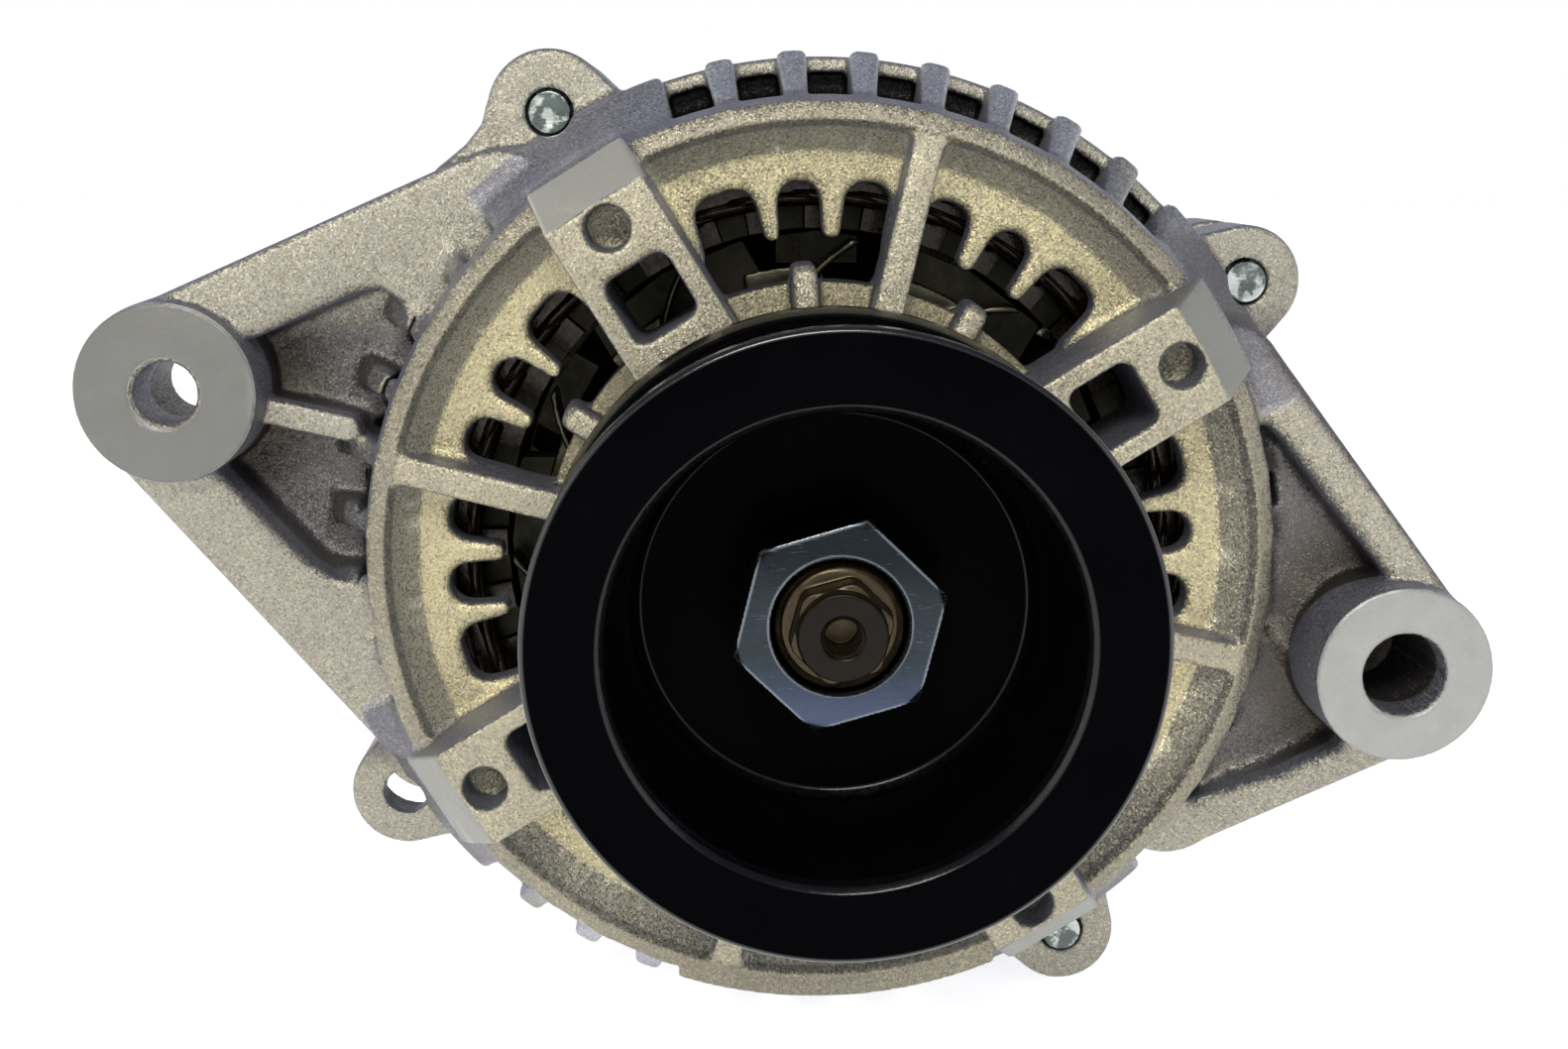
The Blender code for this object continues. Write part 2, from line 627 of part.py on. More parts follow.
def ball_ring(name, circle, ball_r, low, high, balls):
    """A cage with its balls, which turn together round the shaft."""
    middle = (low + high) / 2.0
    ring = tube(name, circle + 0.8, circle - 0.8, middle - 2.0, middle + 2.0, steps=balls * 2)
    bm = bmesh.new()
    for k in range(balls):
        x, y = polar(circle, 360.0 / balls * k)
        where = Matrix.Translation((x * MM, y * MM, middle * MM))
        bmesh.ops.create_uvsphere(bm, u_segments=6, v_segments=4, radius=ball_r * MM, matrix=where)
    join(ring, mesh_object(name + "_set", finish_mesh(bm, name + "_set")))
    return paint(ring, "steel")


def bearings():
    paint(tube("front_bearing_outer_race", BEARING_OUTER_R, 19.5, BEARING_BACK, BEARING_FRONT, steps=20), "steel")
    paint(tube("front_bearing_inner_race", 12.5, SHAFT_R + GAP, BEARING_BACK, BEARING_FRONT, steps=20), "steel")
    ball_ring("front_bearing_balls", 16.0, 2.9, BEARING_BACK, BEARING_FRONT, 8)
    paint(tube("rear_bearing_outer_race", REAR_BEARING_R, 13.2, REAR_BEARING_BACK, REAR_BEARING_FRONT,
               steps=18), "steel")
    paint(tube("rear_bearing_inner_race", 8.4, 6.0 + GAP, REAR_BEARING_BACK, REAR_BEARING_FRONT), "steel")
    ball_ring("rear_bearing_balls", 10.8, 2.0, REAR_BEARING_BACK, REAR_BEARING_FRONT, 7)


def bearing_retainer():
    plate = tube("bearing_retainer", 29.8, 14.5, 78.3, 79.7, steps=24)
    for angle in ARM_ANGLES:
        cut(plate, cylinder("retainer_hole", 1.9, 70.0, 85.0, polar(27.0, angle), 10))
    paint(plate, "steel")
    names = ("right", "top", "left", "bottom")
    for name, angle in zip(names, ARM_ANGLES):
        screw = turned("retainer_screw_" + name, ((0.0, 79.2), (1.6, 79.2), (1.6, 78.0), (2.5, 78.0),
                                                  (2.5, 76.6), (0.0, 76.6)), 10, polar(27.0, angle))
        paint(screw, "zinc")


def pulley():
    """Deep dished pulley with a ribbed belt track."""
    track = []
    for k in range(4):
        top = 133.5 - 4.45 * k
        track += [(37.0, top), (34.4, top - 2.2)]
    profile = [(37.7, PULLEY_FRONT), (PULLEY_R, 139.0), (PULLEY_R, 136.4), (37.0, 135.6)] + track
    profile += [(37.0, 115.6), (PULLEY_R, 112.4), (PULLEY_R, PULLEY_BACK), (16.0, PULLEY_BACK),
                (14.0, 104.8), (SHAFT_R + GAP, 104.8), (SHAFT_R + GAP, DISH_FLOOR),
                (DISH_FLOOR_R, DISH_FLOOR), (DISH_R, 138.6), (29.2, PULLEY_FRONT)]
    return paint(turned("pulley", profile), "black")


def pulley_hardware():
    paint(tube("spacer_collar", 12.5, SHAFT_R + GAP, 95.0, 104.5), "steel")
    nut = hexagon("pulley_nut", NUT_FLATS, DISH_FLOOR + GAP, NUT_TOP, (0.0, 0.0), 16.0)
    face = NUT_FLATS / 2.0
    boolean(nut, turned("nut_chamfer", ((0.0, 130.0), (face - 0.6, NUT_TOP + 0.02), (face + 2.2, NUT_TOP - 1.6),
                                        (face + 2.2, 110.0), (0.0, 110.0)), 24), 'INTERSECT')
    cut(nut, turned("nut_bore", ((0.0, 130.0), (NUT_BORE_R + 1.2, 130.0), (NUT_BORE_R + 0.6, NUT_TOP),
                                 (SHAFT_R, NUT_TOP - 0.9), (SHAFT_R, 100.0), (0.0, 100.0)), 24))
    paint(nut, "zinc")


def through_bolts():
    names = {31.5: "through_bolt_right", 121.5: "through_bolt_top", 301.5: "through_bolt_bottom"}
    for angle, name in names.items():
        center = polar(BOLT_CIRCLE_R, angle)
        bolt = turned(name, ((0.0, 75.4), (2.8, 75.4), (BOLT_R, 74.9), (BOLT_R, 40.0), (0.0, 40.0)), 12, center)
        join(bolt, hexagon("bolt_head", 10.0, 36.6, REAR_FLANGE_BACK - GAP, center, angle))
        paint(bolt, "zinc")


def pivot_bush():
    return paint(tube("pivot_bush", BUSH_OUTER_R, 5.2, 25.0, 47.2, PIVOT_EAR), "steel")


def brush_gear():
    holder = box("brush_holder", (0.0, 21.8), (15.0, 22.4), 6.8, 23.2)
    for number, middle in (("outer", 10.75), ("inner", 18.25)):
        cut(holder, box("brush_chamber", (0.0, 19.0), (BRUSH_DEPTH + 0.8, 22.6), middle - 2.7, middle + 2.7))
        brush = box("brush_" + number, (0.0, BRUSH_TIP + BRUSH_LENGTH / 2.0), (BRUSH_DEPTH, BRUSH_LENGTH),
                    middle - BRUSH_WIDTH / 2.0, middle + BRUSH_WIDTH / 2.0)
        paint(brush, "carbon")
        paint(spring("brush_spring_" + number, middle, BRUSH_TIP + BRUSH_LENGTH + GAP, SPRING_TOP), "steel")
    return paint(holder, "resin")


def spring(name, middle, low, high):
    """Coil spring behind a brush, wound round the line of the brush's travel."""
    turns, wire_r, coil_r = 5.0, 0.28, 1.7
    count = 32
    curve = bpy.data.curves.new(name, 'CURVE')
    curve.dimensions = '3D'
    curve.bevel_depth = wire_r * MM
    curve.bevel_resolution = 0
    curve.use_fill_caps = True
    line = curve.splines.new('POLY')
    line.points.add(count)
    for i, point in enumerate(line.points):
        part = i / count
        turn = 2.0 * math.pi * turns * part
        height = low + wire_r + (high - low - 2.0 * wire_r) * part
        point.co = (coil_r * math.cos(turn) * MM, height * MM, (middle + coil_r * math.sin(turn)) * MM, 1.0)
    guide = bpy.data.objects.new(name + "_curve", curve)
    PARTS.objects.link(guide)
    bpy.context.view_layer.update()
    shape = guide.evaluated_get(bpy.context.evaluated_depsgraph_get())
    mesh = bpy.data.meshes.new_from_object(shape)
    bpy.data.objects.remove(guide, do_unlink=True)
    bm = bmesh.new()
    bm.from_mesh(mesh)
    bmesh.ops.remove_doubles(bm, verts=bm.verts, dist=MERGE)
    bmesh.ops.recalc_face_normals(bm, faces=bm.faces)
    bm.to_mesh(mesh)
    bm.free()
    return mesh_object(name, mesh)


def regulator():
    body = box("regulator", (-27.5, 7.0), (29.0, 25.0), 7.4, 19.0)
    fins = [box_outline((-27.5, -4.0 + 3.7 * k), (31.0, 1.8)) for k in range(7)]
    cut(body, prism("regulator_grooves", fins, 5.0, 10.4))
    return paint(body, "sink")


def connector():
    """The moulded plug socket beside the regulator; its mouth faces outward."""
    shell = box("connector", polar(56.0, CONNECTOR_ANGLE), (26.0, 19.6), 7.6, 23.0, CONNECTOR_ANGLE)
    cut(shell, box("connector_mouth", polar(64.0, CONNECTOR_ANGLE), (20.0, 15.2), 9.8, 20.8, CONNECTOR_ANGLE))
    return paint(shell, "resin")


def sector(inner, outer, start, end, count=13):
    angles = [start + (end - start) * i / count for i in range(count + 1)]
    return [polar(outer, angle) for angle in angles] + [polar(inner, angle) for angle in reversed(angles)]


def rectifier():
    positive = prism("rectifier_positive_plate", [sector(27.0, 56.5, 200.0, 364.0, 15)], 7.2, 10.0)
    negative = prism("rectifier_negative_plate", [sector(27.0, 56.5, 200.0, 338.0)], 21.6, 24.0)
    for plate in (positive, negative):
        for angle in POST_ANGLES[1:]:
            cut(plate, cylinder("plate_hole", 3.9, 0.0, 30.0, polar(POST_CIRCLE_R, angle), 10))
        paint(plate, "sink")
    cut(positive, cylinder("plate_stud_hole", 3.4, 0.0, 30.0, STUD_CENTER, 12))
    board = prism("rectifier_terminal_board", [sector(50.5, 56.5, 228.0, 312.0)], 10.6, 21.0)
    paint(board, "resin")
    for number in range(6):
        center = polar(40.5, 218.0 + 20.6 * number)
        low, high = (10.3, 19.4) if number % 2 == 0 else (12.4, 21.3)
        diode = turned("diode_%d" % (number + 1), ((0.0, high), (5.4, high), (5.4, low), (0.0, low)), 14, center)
        paint(diode, "zinc")


def battery_terminal():
    stud = cylinder("battery_stud", 3.0, -15.0, 12.0, STUD_CENTER, 12)
    join(stud, box("stud_head", STUD_CENTER, (11.0, 11.0), 10.3, 13.6, STUD_ANGLE))
    paint(stud, "zinc")
    bush = turned("stud_insulator", ((7.2, 6.9), (7.2, 3.8), (9.2, 3.8), (9.2, -1.6), (3.4, -1.6), (3.4, 6.9)),
                  14, STUD_CENTER)
    paint(bush, "resin")
    nut = hexagon("stud_nut", 10.0, -7.0, -1.9, STUD_CENTER)
    cut(nut, cylinder("stud_nut_bore", 3.3, -10.0, 2.0, STUD_CENTER, 12))
    paint(nut, "zinc")


def smooth_round_pieces():
    for item in PARTS.objects:
        if item.type == 'MESH':
            item.data.shade_smooth()
            item.data.set_sharp_from_angle(angle=math.radians(35.0))


clear_scene()
PARTS = new_collection("car_alternator")
CUTTERS = new_collection("cutters")
ROOT = bpy.data.objects.new("alternator_axis", None)
PARTS.objects.link(ROOT)
ROOT.rotation_euler = (math.radians(90.0), 0.0, 0.0)
MATERIALS = make_materials()
STUD_CENTER = polar(STUD_CIRCLE_R, STUD_ANGLE)

drive_end_frame()
rear_end_frame()
rear_cover()
cover_nuts()
stator_core()
stator_winding()
rotor_shaft()
front_claw_pole()
rear_claw_pole()
field_winding()
fan("front_fan", 72.4, 73.6, 73.5, 79.4, -16.0)
fan("rear_fan", 44.6, 45.8, 38.9, 44.7, 16.0)
slip_rings()
bearings()
bearing_retainer()
pulley()
pulley_hardware()
through_bolts()
pivot_bush()
brush_gear()
regulator()
connector()
rectifier()
battery_terminal()
smooth_round_pieces()
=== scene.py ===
"""Looks for the car alternator: cast end frames, dished pulley, nut, windings and cover.

Shapes are worked out in the alternator's own frame, in millimetres: x to the right, y up and
h along the shaft towards the pulley. The world frame has the pulley facing -Y, so a local
point (x, y, h) is the world point (x, -h, y) / 1000.
"""
import json
import math

import bmesh
import bpy
import numpy as np
from mathutils import Matrix, Vector

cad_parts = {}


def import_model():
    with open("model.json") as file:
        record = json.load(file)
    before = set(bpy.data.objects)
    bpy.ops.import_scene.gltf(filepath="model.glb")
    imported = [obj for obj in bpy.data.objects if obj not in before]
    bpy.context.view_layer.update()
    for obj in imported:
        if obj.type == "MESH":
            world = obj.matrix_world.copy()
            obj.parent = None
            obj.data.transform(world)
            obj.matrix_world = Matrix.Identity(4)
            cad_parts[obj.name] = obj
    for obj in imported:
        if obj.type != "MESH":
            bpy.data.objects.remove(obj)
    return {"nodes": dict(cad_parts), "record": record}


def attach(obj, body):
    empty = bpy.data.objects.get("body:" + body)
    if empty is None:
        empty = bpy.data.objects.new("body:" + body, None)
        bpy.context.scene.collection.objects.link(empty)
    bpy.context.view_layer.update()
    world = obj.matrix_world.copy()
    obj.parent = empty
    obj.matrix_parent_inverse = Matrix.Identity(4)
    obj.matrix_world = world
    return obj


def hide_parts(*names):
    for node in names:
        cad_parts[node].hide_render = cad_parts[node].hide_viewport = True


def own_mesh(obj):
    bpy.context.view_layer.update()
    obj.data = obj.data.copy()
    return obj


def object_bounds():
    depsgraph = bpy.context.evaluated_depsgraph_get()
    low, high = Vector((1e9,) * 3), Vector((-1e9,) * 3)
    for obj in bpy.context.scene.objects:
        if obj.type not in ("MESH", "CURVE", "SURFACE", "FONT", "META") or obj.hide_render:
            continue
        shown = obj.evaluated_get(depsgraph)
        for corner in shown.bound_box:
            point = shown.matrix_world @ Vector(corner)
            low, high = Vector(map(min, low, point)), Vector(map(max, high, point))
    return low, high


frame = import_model()
cad_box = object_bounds()

MM = 0.001
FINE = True
VOXEL = 0.42 if FINE else 0.8       # spacing of the casting grids

AXIS = (0.0, 0.0)                   # the shaft's own line
ARM_ANGLES = (31.5, 121.5, 211.5, 301.5)
RIB_ANGLES = (76.5, 166.5, 256.5, 346.5)
FIN_PITCH = 8.4                     # degrees from fin to fin
BOLT_CIRCLE_R = 73.5
OPEN_LUG_ANGLE = 211.5              # the lug that has no bolt
LUG_R = {31.5: 8.2, 121.5: 8.9, 211.5: 8.3, 301.5: 8.2}
ADJUST_EAR = (-90.5, 24.8)
PIVOT_EAR = (80.4, -14.2)
FLANGE_FRONT = 75.0                 # heights along the shaft in the drive-end casting
PLATE_BACK = 81.5
PLATE_FRONT = 86.5
LIP_FACE = 92.0
ARM_FACE = 101.0


def polar(radius, angle):
    """Point at a radius and an angle in degrees."""
    turn = math.radians(angle)
    return radius * math.cos(turn), radius * math.sin(turn)


def turned(points, angle, center=AXIS):
    """The points turned by an angle and moved to a centre."""
    cos, sin = polar(1.0, angle)
    return [(center[0] + x * cos - y * sin, center[1] + x * sin + y * cos) for x, y in points]


def block_round(center, reach, low, high):
    """Corners of a block of space round a line parallel to the shaft."""
    x, y = center
    return (x - reach, y - reach, low), (x + reach, y + reach, high)


def link(name, data):
    """A new object in the scene."""
    item = bpy.data.objects.new(name, data)
    bpy.context.scene.collection.objects.link(item)
    return item


# ---------------------------------------------------------------- distance fields

def polygon_distance(px, py, points):
    """Signed distance from points (px, py) to a closed outline, negative inside."""
    best = None
    inside = None
    count = len(points)
    for i in range(count):
        ax, ay = points[i]
        bx, by = points[(i + 1) % count]
        ex, ey = bx - ax, by - ay
        wx, wy = px - ax, py - ay
        part = np.clip((wx * ex + wy * ey) / (ex * ex + ey * ey), 0.0, 1.0)
        gap = (wx - ex * part) ** 2 + (wy - ey * part) ** 2
        best = gap if best is None else np.minimum(best, gap)
        if ay != by:
            crosses = ((ay > py) != (by > py)) & (px < ex * (py - ay) / ey + ax)
            inside = crosses if inside is None else inside ^ crosses
    return np.where(inside, -np.sqrt(best), np.sqrt(best)).astype(np.float32)


def smooth_min(a, b, k):
    """Union of two fields with a fillet about k wide."""
    if k <= 0.0:
        return np.minimum(a, b)
    h = np.clip(0.5 + 0.5 * (b - a) / k, 0.0, 1.0)
    return b + (a - b) * h - k * h * (1.0 - h)


def smooth_max(a, b, k):
    return -smooth_min(-a, -b, k)


def rounded_max(a, b, r):
    """Intersection of two fields with a round convex edge of radius r."""
    a, b = a + r, b + r
    outside = np.sqrt(np.maximum(a, 0.0) ** 2 + np.maximum(b, 0.0) ** 2)
    return outside + np.minimum(np.maximum(a, b), 0.0) - r


class Field:
    """A block of space sampled on a grid, holding the distance to the surface of one casting."""

    def __init__(self, low, high, step):
        self.low = low
        self.step = step
        self.axes = [np.arange(a, b + step, step, dtype=np.float32) for a, b in zip(low, high)]
        self.values = np.full([len(axis) for axis in self.axes], 9.0, dtype=np.float32)

    def block(self, low, high):
        slices = []
        for axis, a, b in zip(self.axes, low, high):
            start = int(np.searchsorted(axis, a))
            stop = int(np.searchsorted(axis, b)) + 1
            slices.append(slice(start, min(stop, len(axis))))
        x = self.axes[0][slices[0]][:, None, None]
        y = self.axes[1][slices[1]][None, :, None]
        h = self.axes[2][slices[2]][None, None, :]
        return tuple(slices), x, y, h

    def add(self, shape, low, high, blend=1.0):
        where, x, y, h = self.block(low, high)
        self.values[where] = smooth_min(self.values[where], shape(x, y, h), blend)

    def cut(self, shape, low, high, blend=0.6):
        where, x, y, h = self.block(low, high)
        self.values[where] = smooth_max(self.values[where], -shape(x, y, h), blend)


def ring_block(radius, low, high, margin=3.0):
    """Corners of a block of space round a ring on the shaft's axis."""
    return block_round(AXIS, radius + margin, low - margin, high + margin)


def revolve(profile, center=AXIS):
    """A (radius, height) outline turned round an axis parallel to the shaft."""
    def shape(x, y, h):
        radius = np.hypot(x - center[0], y - center[1])[:, :, 0]
        step = 0.1
        table_r = np.arange(0.0, radius.max() + 2.0 * step, step, dtype=np.float32)
        table = polygon_distance(table_r[:, None], h[0], profile)
        at = radius / step
        base = at.astype(np.int32)
        part = (at - base)[:, :, None].astype(np.float32)
        return table[base] * (1.0 - part) + table[base + 1] * part
    return shape


def extrude(outline, low, high, edge=0.5):
    """A flat outline between two heights, with rounded edges."""
    def shape(x, y, h):
        flat = polygon_distance(x[:, :, 0], y[:, :, 0], outline)[:, :, None]
        return rounded_max(flat, np.maximum(low - h, h - high), edge)
    return shape


def disc(center, radius, low, high, edge=0.5):
    def shape(x, y, h):
        flat = np.hypot(x - center[0], y - center[1]) - radius
        return rounded_max(flat, np.maximum(low - h, h - high), edge)
    return shape


def bridge(first, second, edge=1.0):
    """A tapered bar from one round end to the other, each (x, y, radius, low, high)."""
    ax, ay, ar, al, ah = first
    bx, by, br, bl, bh = second
    length = math.hypot(bx - ax, by - ay)
    ux, uy = (bx - ax) / length, (by - ay) / length
    slope = (br - ar) / length

    def shape(x, y, h):
        along = (x - ax) * ux + (y - ay) * uy
        side = np.abs((y - ay) * ux - (x - ax) * uy)
        lean = math.sqrt(1.0 - slope * slope)
        shift = along + side * slope / lean
        part = np.clip(shift / length, 0.0, 1.0)
        flat = np.hypot(along - part * length, side) - (ar + (br - ar) * part)
        run = np.clip(along / length, 0.0, 1.0)
        top = ah + (bh - ah) * run
        bottom = al + (bl - al) * run
        return rounded_max(flat, np.maximum(bottom - h, h - top), edge)
    return shape


def radial_slab(profile, width, angle, edge=0.6):
    """A (radius, height) outline given a width across, standing out at an angle."""
    turn = math.radians(angle)

    def shape(x, y, h):
        u = x * math.cos(turn) + y * math.sin(turn)
        v = y * math.cos(turn) - x * math.sin(turn)
        return rounded_max(polygon_distance(u, h, profile), np.abs(v) - width / 2.0, edge)
    return shape


def fan_of_slabs(profile, width, angles, edge=0.6):
    """The same slab repeated at many angles, each point reading only its nearest one."""
    centres = np.radians(np.array(angles, dtype=np.float32))

    def shape(x, y, h):
        turn = np.arctan2(y, x)[:, :, 0]
        radius = np.hypot(x, y)[:, :, 0]
        off = turn[:, :, None] - centres[None, None, :]
        off = (off + math.pi) % (2.0 * math.pi) - math.pi
        nearest = np.take_along_axis(off, np.abs(off).argmin(axis=2)[:, :, None], axis=2)[:, :, 0]
        u = (radius * np.cos(nearest)).astype(np.float32)[:, :, None]
        v = (radius * np.sin(nearest)).astype(np.float32)[:, :, None]
        return rounded_max(polygon_distance(u, h, profile), np.abs(v) - width / 2.0, edge)
    return shape


def surface_nets(field):
    """Vertices (mm) and quads of the field's zero surface."""
    d = field.values
    inside = d < 0.0
    shape = np.array(d.shape) - 1
    corners = [(i, j, k) for i in (0, 1) for j in (0, 1) for k in (0, 1)]

    def corner(a, c):
        return a[c[0]:c[0] + shape[0], c[1]:c[1] + shape[1], c[2]:c[2] + shape[2]]

    total = np.zeros(shape, dtype=np.int8)
    for c in corners:
        total += corner(inside, c)
    cells = np.argwhere((total > 0) & (total < 8))
    index = np.full(shape, -1, dtype=np.int32)
    index[tuple(cells.T)] = np.arange(len(cells), dtype=np.int32)
    samples = {c: d[cells[:, 0] + c[0], cells[:, 1] + c[1], cells[:, 2] + c[2]] for c in corners}
    position = np.zeros((len(cells), 3))
    count = np.zeros(len(cells))
    for a in corners:
        for axis in range(3):
            if a[axis]:
                continue
            b = tuple(1 if n == axis else a[n] for n in range(3))
            va, vb = samples[a], samples[b]
            crossing = (va < 0.0) != (vb < 0.0)
            part = np.where(crossing, va / np.where(va == vb, 1.0, va - vb), 0.0)
            for n in range(3):
                position[:, n] += np.where(crossing, part if n == axis else a[n], 0.0)
            count += crossing
    position = cells + position / count[:, None]
    verts = position * field.step + np.array(field.low)
    quads = []
    for axis in range(3):
        low = [slice(1, n) for n in shape]
        low[axis] = slice(0, shape[axis])
        high = list(low)
        high[axis] = slice(1, shape[axis] + 1)
        first, second = inside[tuple(low)], inside[tuple(high)]
        edges = np.argwhere(first != second)
        offset = np.array([1, 1, 1])
        offset[axis] = 0
        edges = edges + offset
        flip = inside[tuple(edges.T)]
        u, v = (axis + 1) % 3, (axis + 2) % 3
        step_u, step_v = np.zeros(3, dtype=int), np.zeros(3, dtype=int)
        step_u[u] = 1
        step_v[v] = 1
        ring = [edges - step_u - step_v, edges - step_v, edges, edges - step_u]
        quad = np.stack([index[tuple(cell.T)] for cell in ring], axis=1)
        quad[~flip] = quad[~flip][:, ::-1]
        quads.append(quad)
    return verts, np.concatenate(quads)


def to_world(points):
    points = np.asarray(points, dtype=float)
    return np.stack([points[:, 0], -points[:, 2], points[:, 1]], axis=1) * MM


def mesh_from(name, verts, faces):
    """Mesh from local millimetre points and quads."""
    mesh = bpy.data.meshes.new(name)
    mesh.vertices.add(len(verts))
    mesh.vertices.foreach_set("co", to_world(verts).astype(np.float32).ravel())
    mesh.loops.add(faces.size)
    mesh.loops.foreach_set("vertex_index", faces.astype(np.int32).ravel())
    mesh.polygons.add(len(faces))
    mesh.polygons.foreach_set("loop_start", np.arange(0, faces.size, 4, dtype=np.int32))
    mesh.update(calc_edges=True)
    mesh.validate()
    return link(name, mesh)


def apply_modifiers(item):
    graph = bpy.context.evaluated_depsgraph_get()
    graph.update()
    mesh = bpy.data.meshes.new_from_object(item.evaluated_get(graph), depsgraph=graph)
    old = item.data
    item.modifiers.clear()
    item.data = mesh
    bpy.data.meshes.remove(old)
    return item


def casting(name, field, most):
    """The field's surface as a mesh of at most that many triangles, smooth shaded."""
    verts, quads = surface_nets(field)
    item = mesh_from(name, verts, quads)
    ratio = most / (2.0 * len(quads))
    if ratio < 1.0:
        item.modifiers.new("reduce", 'DECIMATE').ratio = ratio
        apply_modifiers(item)
    item.data.shade_smooth()
    return item


# ---------------------------------------------------------------- drive-end casting

def slot_outline(inner, outer, width, corner, angle):
    """Outline of a radial slot with a rounded outer end."""
    half = width / 2.0
    points = [(inner, -half)]
    for start, side in ((-90.0, -1.0), (0.0, 1.0)):
        for i in range(5):
            x, y = polar(corner, start + 22.5 * i)
            points.append((outer - corner + x, side * (half - corner) + y))
    points.append((inner, half))
    return turned(points, angle)


def rounded_square(center, half, corner, angle):
    points = []
    for quarter in range(4):
        for i in range(4):
            sx, sy = polar((half - corner) * math.sqrt(2.0), angle + quarter * 90.0 + 45.0)
            cx, cy = polar(corner, angle + quarter * 90.0 + i * 30.0)
            points.append((center[0] + sx + cx, center[1] + sy + cy))
    return points


def build_shell(field):
    """Flange, finned wall, lip and front plate."""
    profile = ((61.6, LIP_FACE), (64.0, 90.8), (64.9, 86.6), (69.6, 79.8), (71.2, 78.0),
               (71.2, FLANGE_FRONT), (70.5, FLANGE_FRONT), (70.5, 66.0), (64.8, 66.0), (64.8, 72.3),
               (60.8, 72.3), (57.9, PLATE_BACK), (45.5, PLATE_BACK), (45.5, PLATE_FRONT),
               (57.4, PLATE_FRONT))
    field.add(revolve(profile), *ring_block(71.5, 66.0, 92.0), 0.0)
    window = ((56.0, 72.1), (68.3, 72.1), (68.3, FLANGE_FRONT), (78.0, FLANGE_FRONT), (78.0, 94.0),
              (64.0, 94.0), (64.0, 84.4), (56.0, 80.8))
    angles = [rib + FIN_PITCH * (k - 3.5) for rib in RIB_ANGLES for k in range(8)]
    field.cut(fan_of_slabs(window, 6.1, angles, 1.0), *ring_block(71.5, 72.0, 88.0), 1.3)
    lip = ((61.6, LIP_FACE), (64.0, 90.8), (64.9, 86.6), (64.9, 85.2), (60.5, 84.8), (58.5, PLATE_FRONT))
    field.add(revolve(lip), *ring_block(64.9, 84.6, 92.0), 0.4)
    bulge = [polar(65.5, 251.0 + 3.0 * i) for i in range(15)]
    bulge += [polar(61.6, 293.0 - 3.0 * i) for i in range(15)]
    field.add(extrude(bulge, 80.0, 91.2, 0.6), (-25.0, -68.0, 78.0), (30.0, -52.0, 93.0), 0.6)


def build_ear(field, center, reach, arms, pocket, pocket_top, floor, ridge, face):
    """A boss on two arms round a pocket, with the pocket's floor and its ridge."""
    ear = Field(*reach, field.step)
    for end, blend in zip(arms[1:], (0.0, 1.0)):
        ear.add(bridge((*center, *arms[0]), end, 1.4), *reach, blend)
    ear.cut(extrude(pocket, 60.0, pocket_top, 1.5), *reach, 2.0)
    for end in floor[1:]:
        ear.add(bridge((*center, *floor[0]), end, 0.8), *reach, 2.2)
    start, end, blend = ridge
    ear.add(bridge(start, end, 0.8), *reach, blend)
    ear.add(disc(center, 12.45, *face, 0.35), *reach, 0.5)
    merge(field, ear, 1.8)


def build_ears(field):
    """The two ears. The first row of arms and floor is their (radius, low, high) at the boss."""
    build_ear(field, ADJUST_EAR, ((-103.0, -42.0, 64.0), (-30.0, 75.0, 92.0)),
              arms=((12.3, 73.0, 89.9), (-45.0, 47.0, 10.6, 66.0, 81.0), (-60.0, -24.0, 7.0, 66.0, 82.0)),
              pocket=((-92.0, 29.0), (-78.5, 32.0), (-64.5, 38.0), (-61.8, 38.4), (-59.5, 36.8),
                      (-52.0, 24.0), (-58.0, -3.4), (-67.0, -3.4), (-70.4, -2.4), (-73.3, -0.2),
                      (-79.1, 6.5), (-86.0, 15.0)),
              pocket_top=95.0,
              floor=((11.6, 72.4, 75.6), (-52.0, 32.0, 10.0, 68.0, 75.6), (-58.0, -8.0, 8.0, 68.0, 75.6)),
              ridge=((-80.5, 21.9, 1.9, 72.0, 84.4), (-67.5, 18.7, 1.9, 72.0, 83.6), 1.6),
              face=(72.0, 91.0))
    build_ear(field, PIVOT_EAR, ((33.0, -54.0, 64.0), (94.0, 44.0, 102.0)),
              arms=((11.9, 86.5, 99.8), (57.5, 24.9, 8.6, 66.0, 86.2), (51.8, -36.6, 9.3, 66.0, 86.2)),
              pocket=((50.0, 26.0), (61.5, 20.5), (65.1, 17.1), (72.4, 7.3), (77.6, 0.4), (78.8, -1.5),
                      (78.0, -4.6), (80.0, -14.0), (75.0, -24.5), (73.6, -26.8), (66.2, -32.0),
                      (54.2, -37.4), (46.0, -20.0)),
              pocket_top=110.0,
              floor=((11.4, 84.9, 89.3), (56.0, 22.0, 8.0, 74.0, 81.0), (50.0, -34.0, 8.0, 74.0, 81.0)),
              ridge=((79.0, -9.5, 2.0, 78.0, 90.0), (64.5, -4.5, 2.0, 74.0, 85.0), 2.4),
              face=(76.0, 101.0))


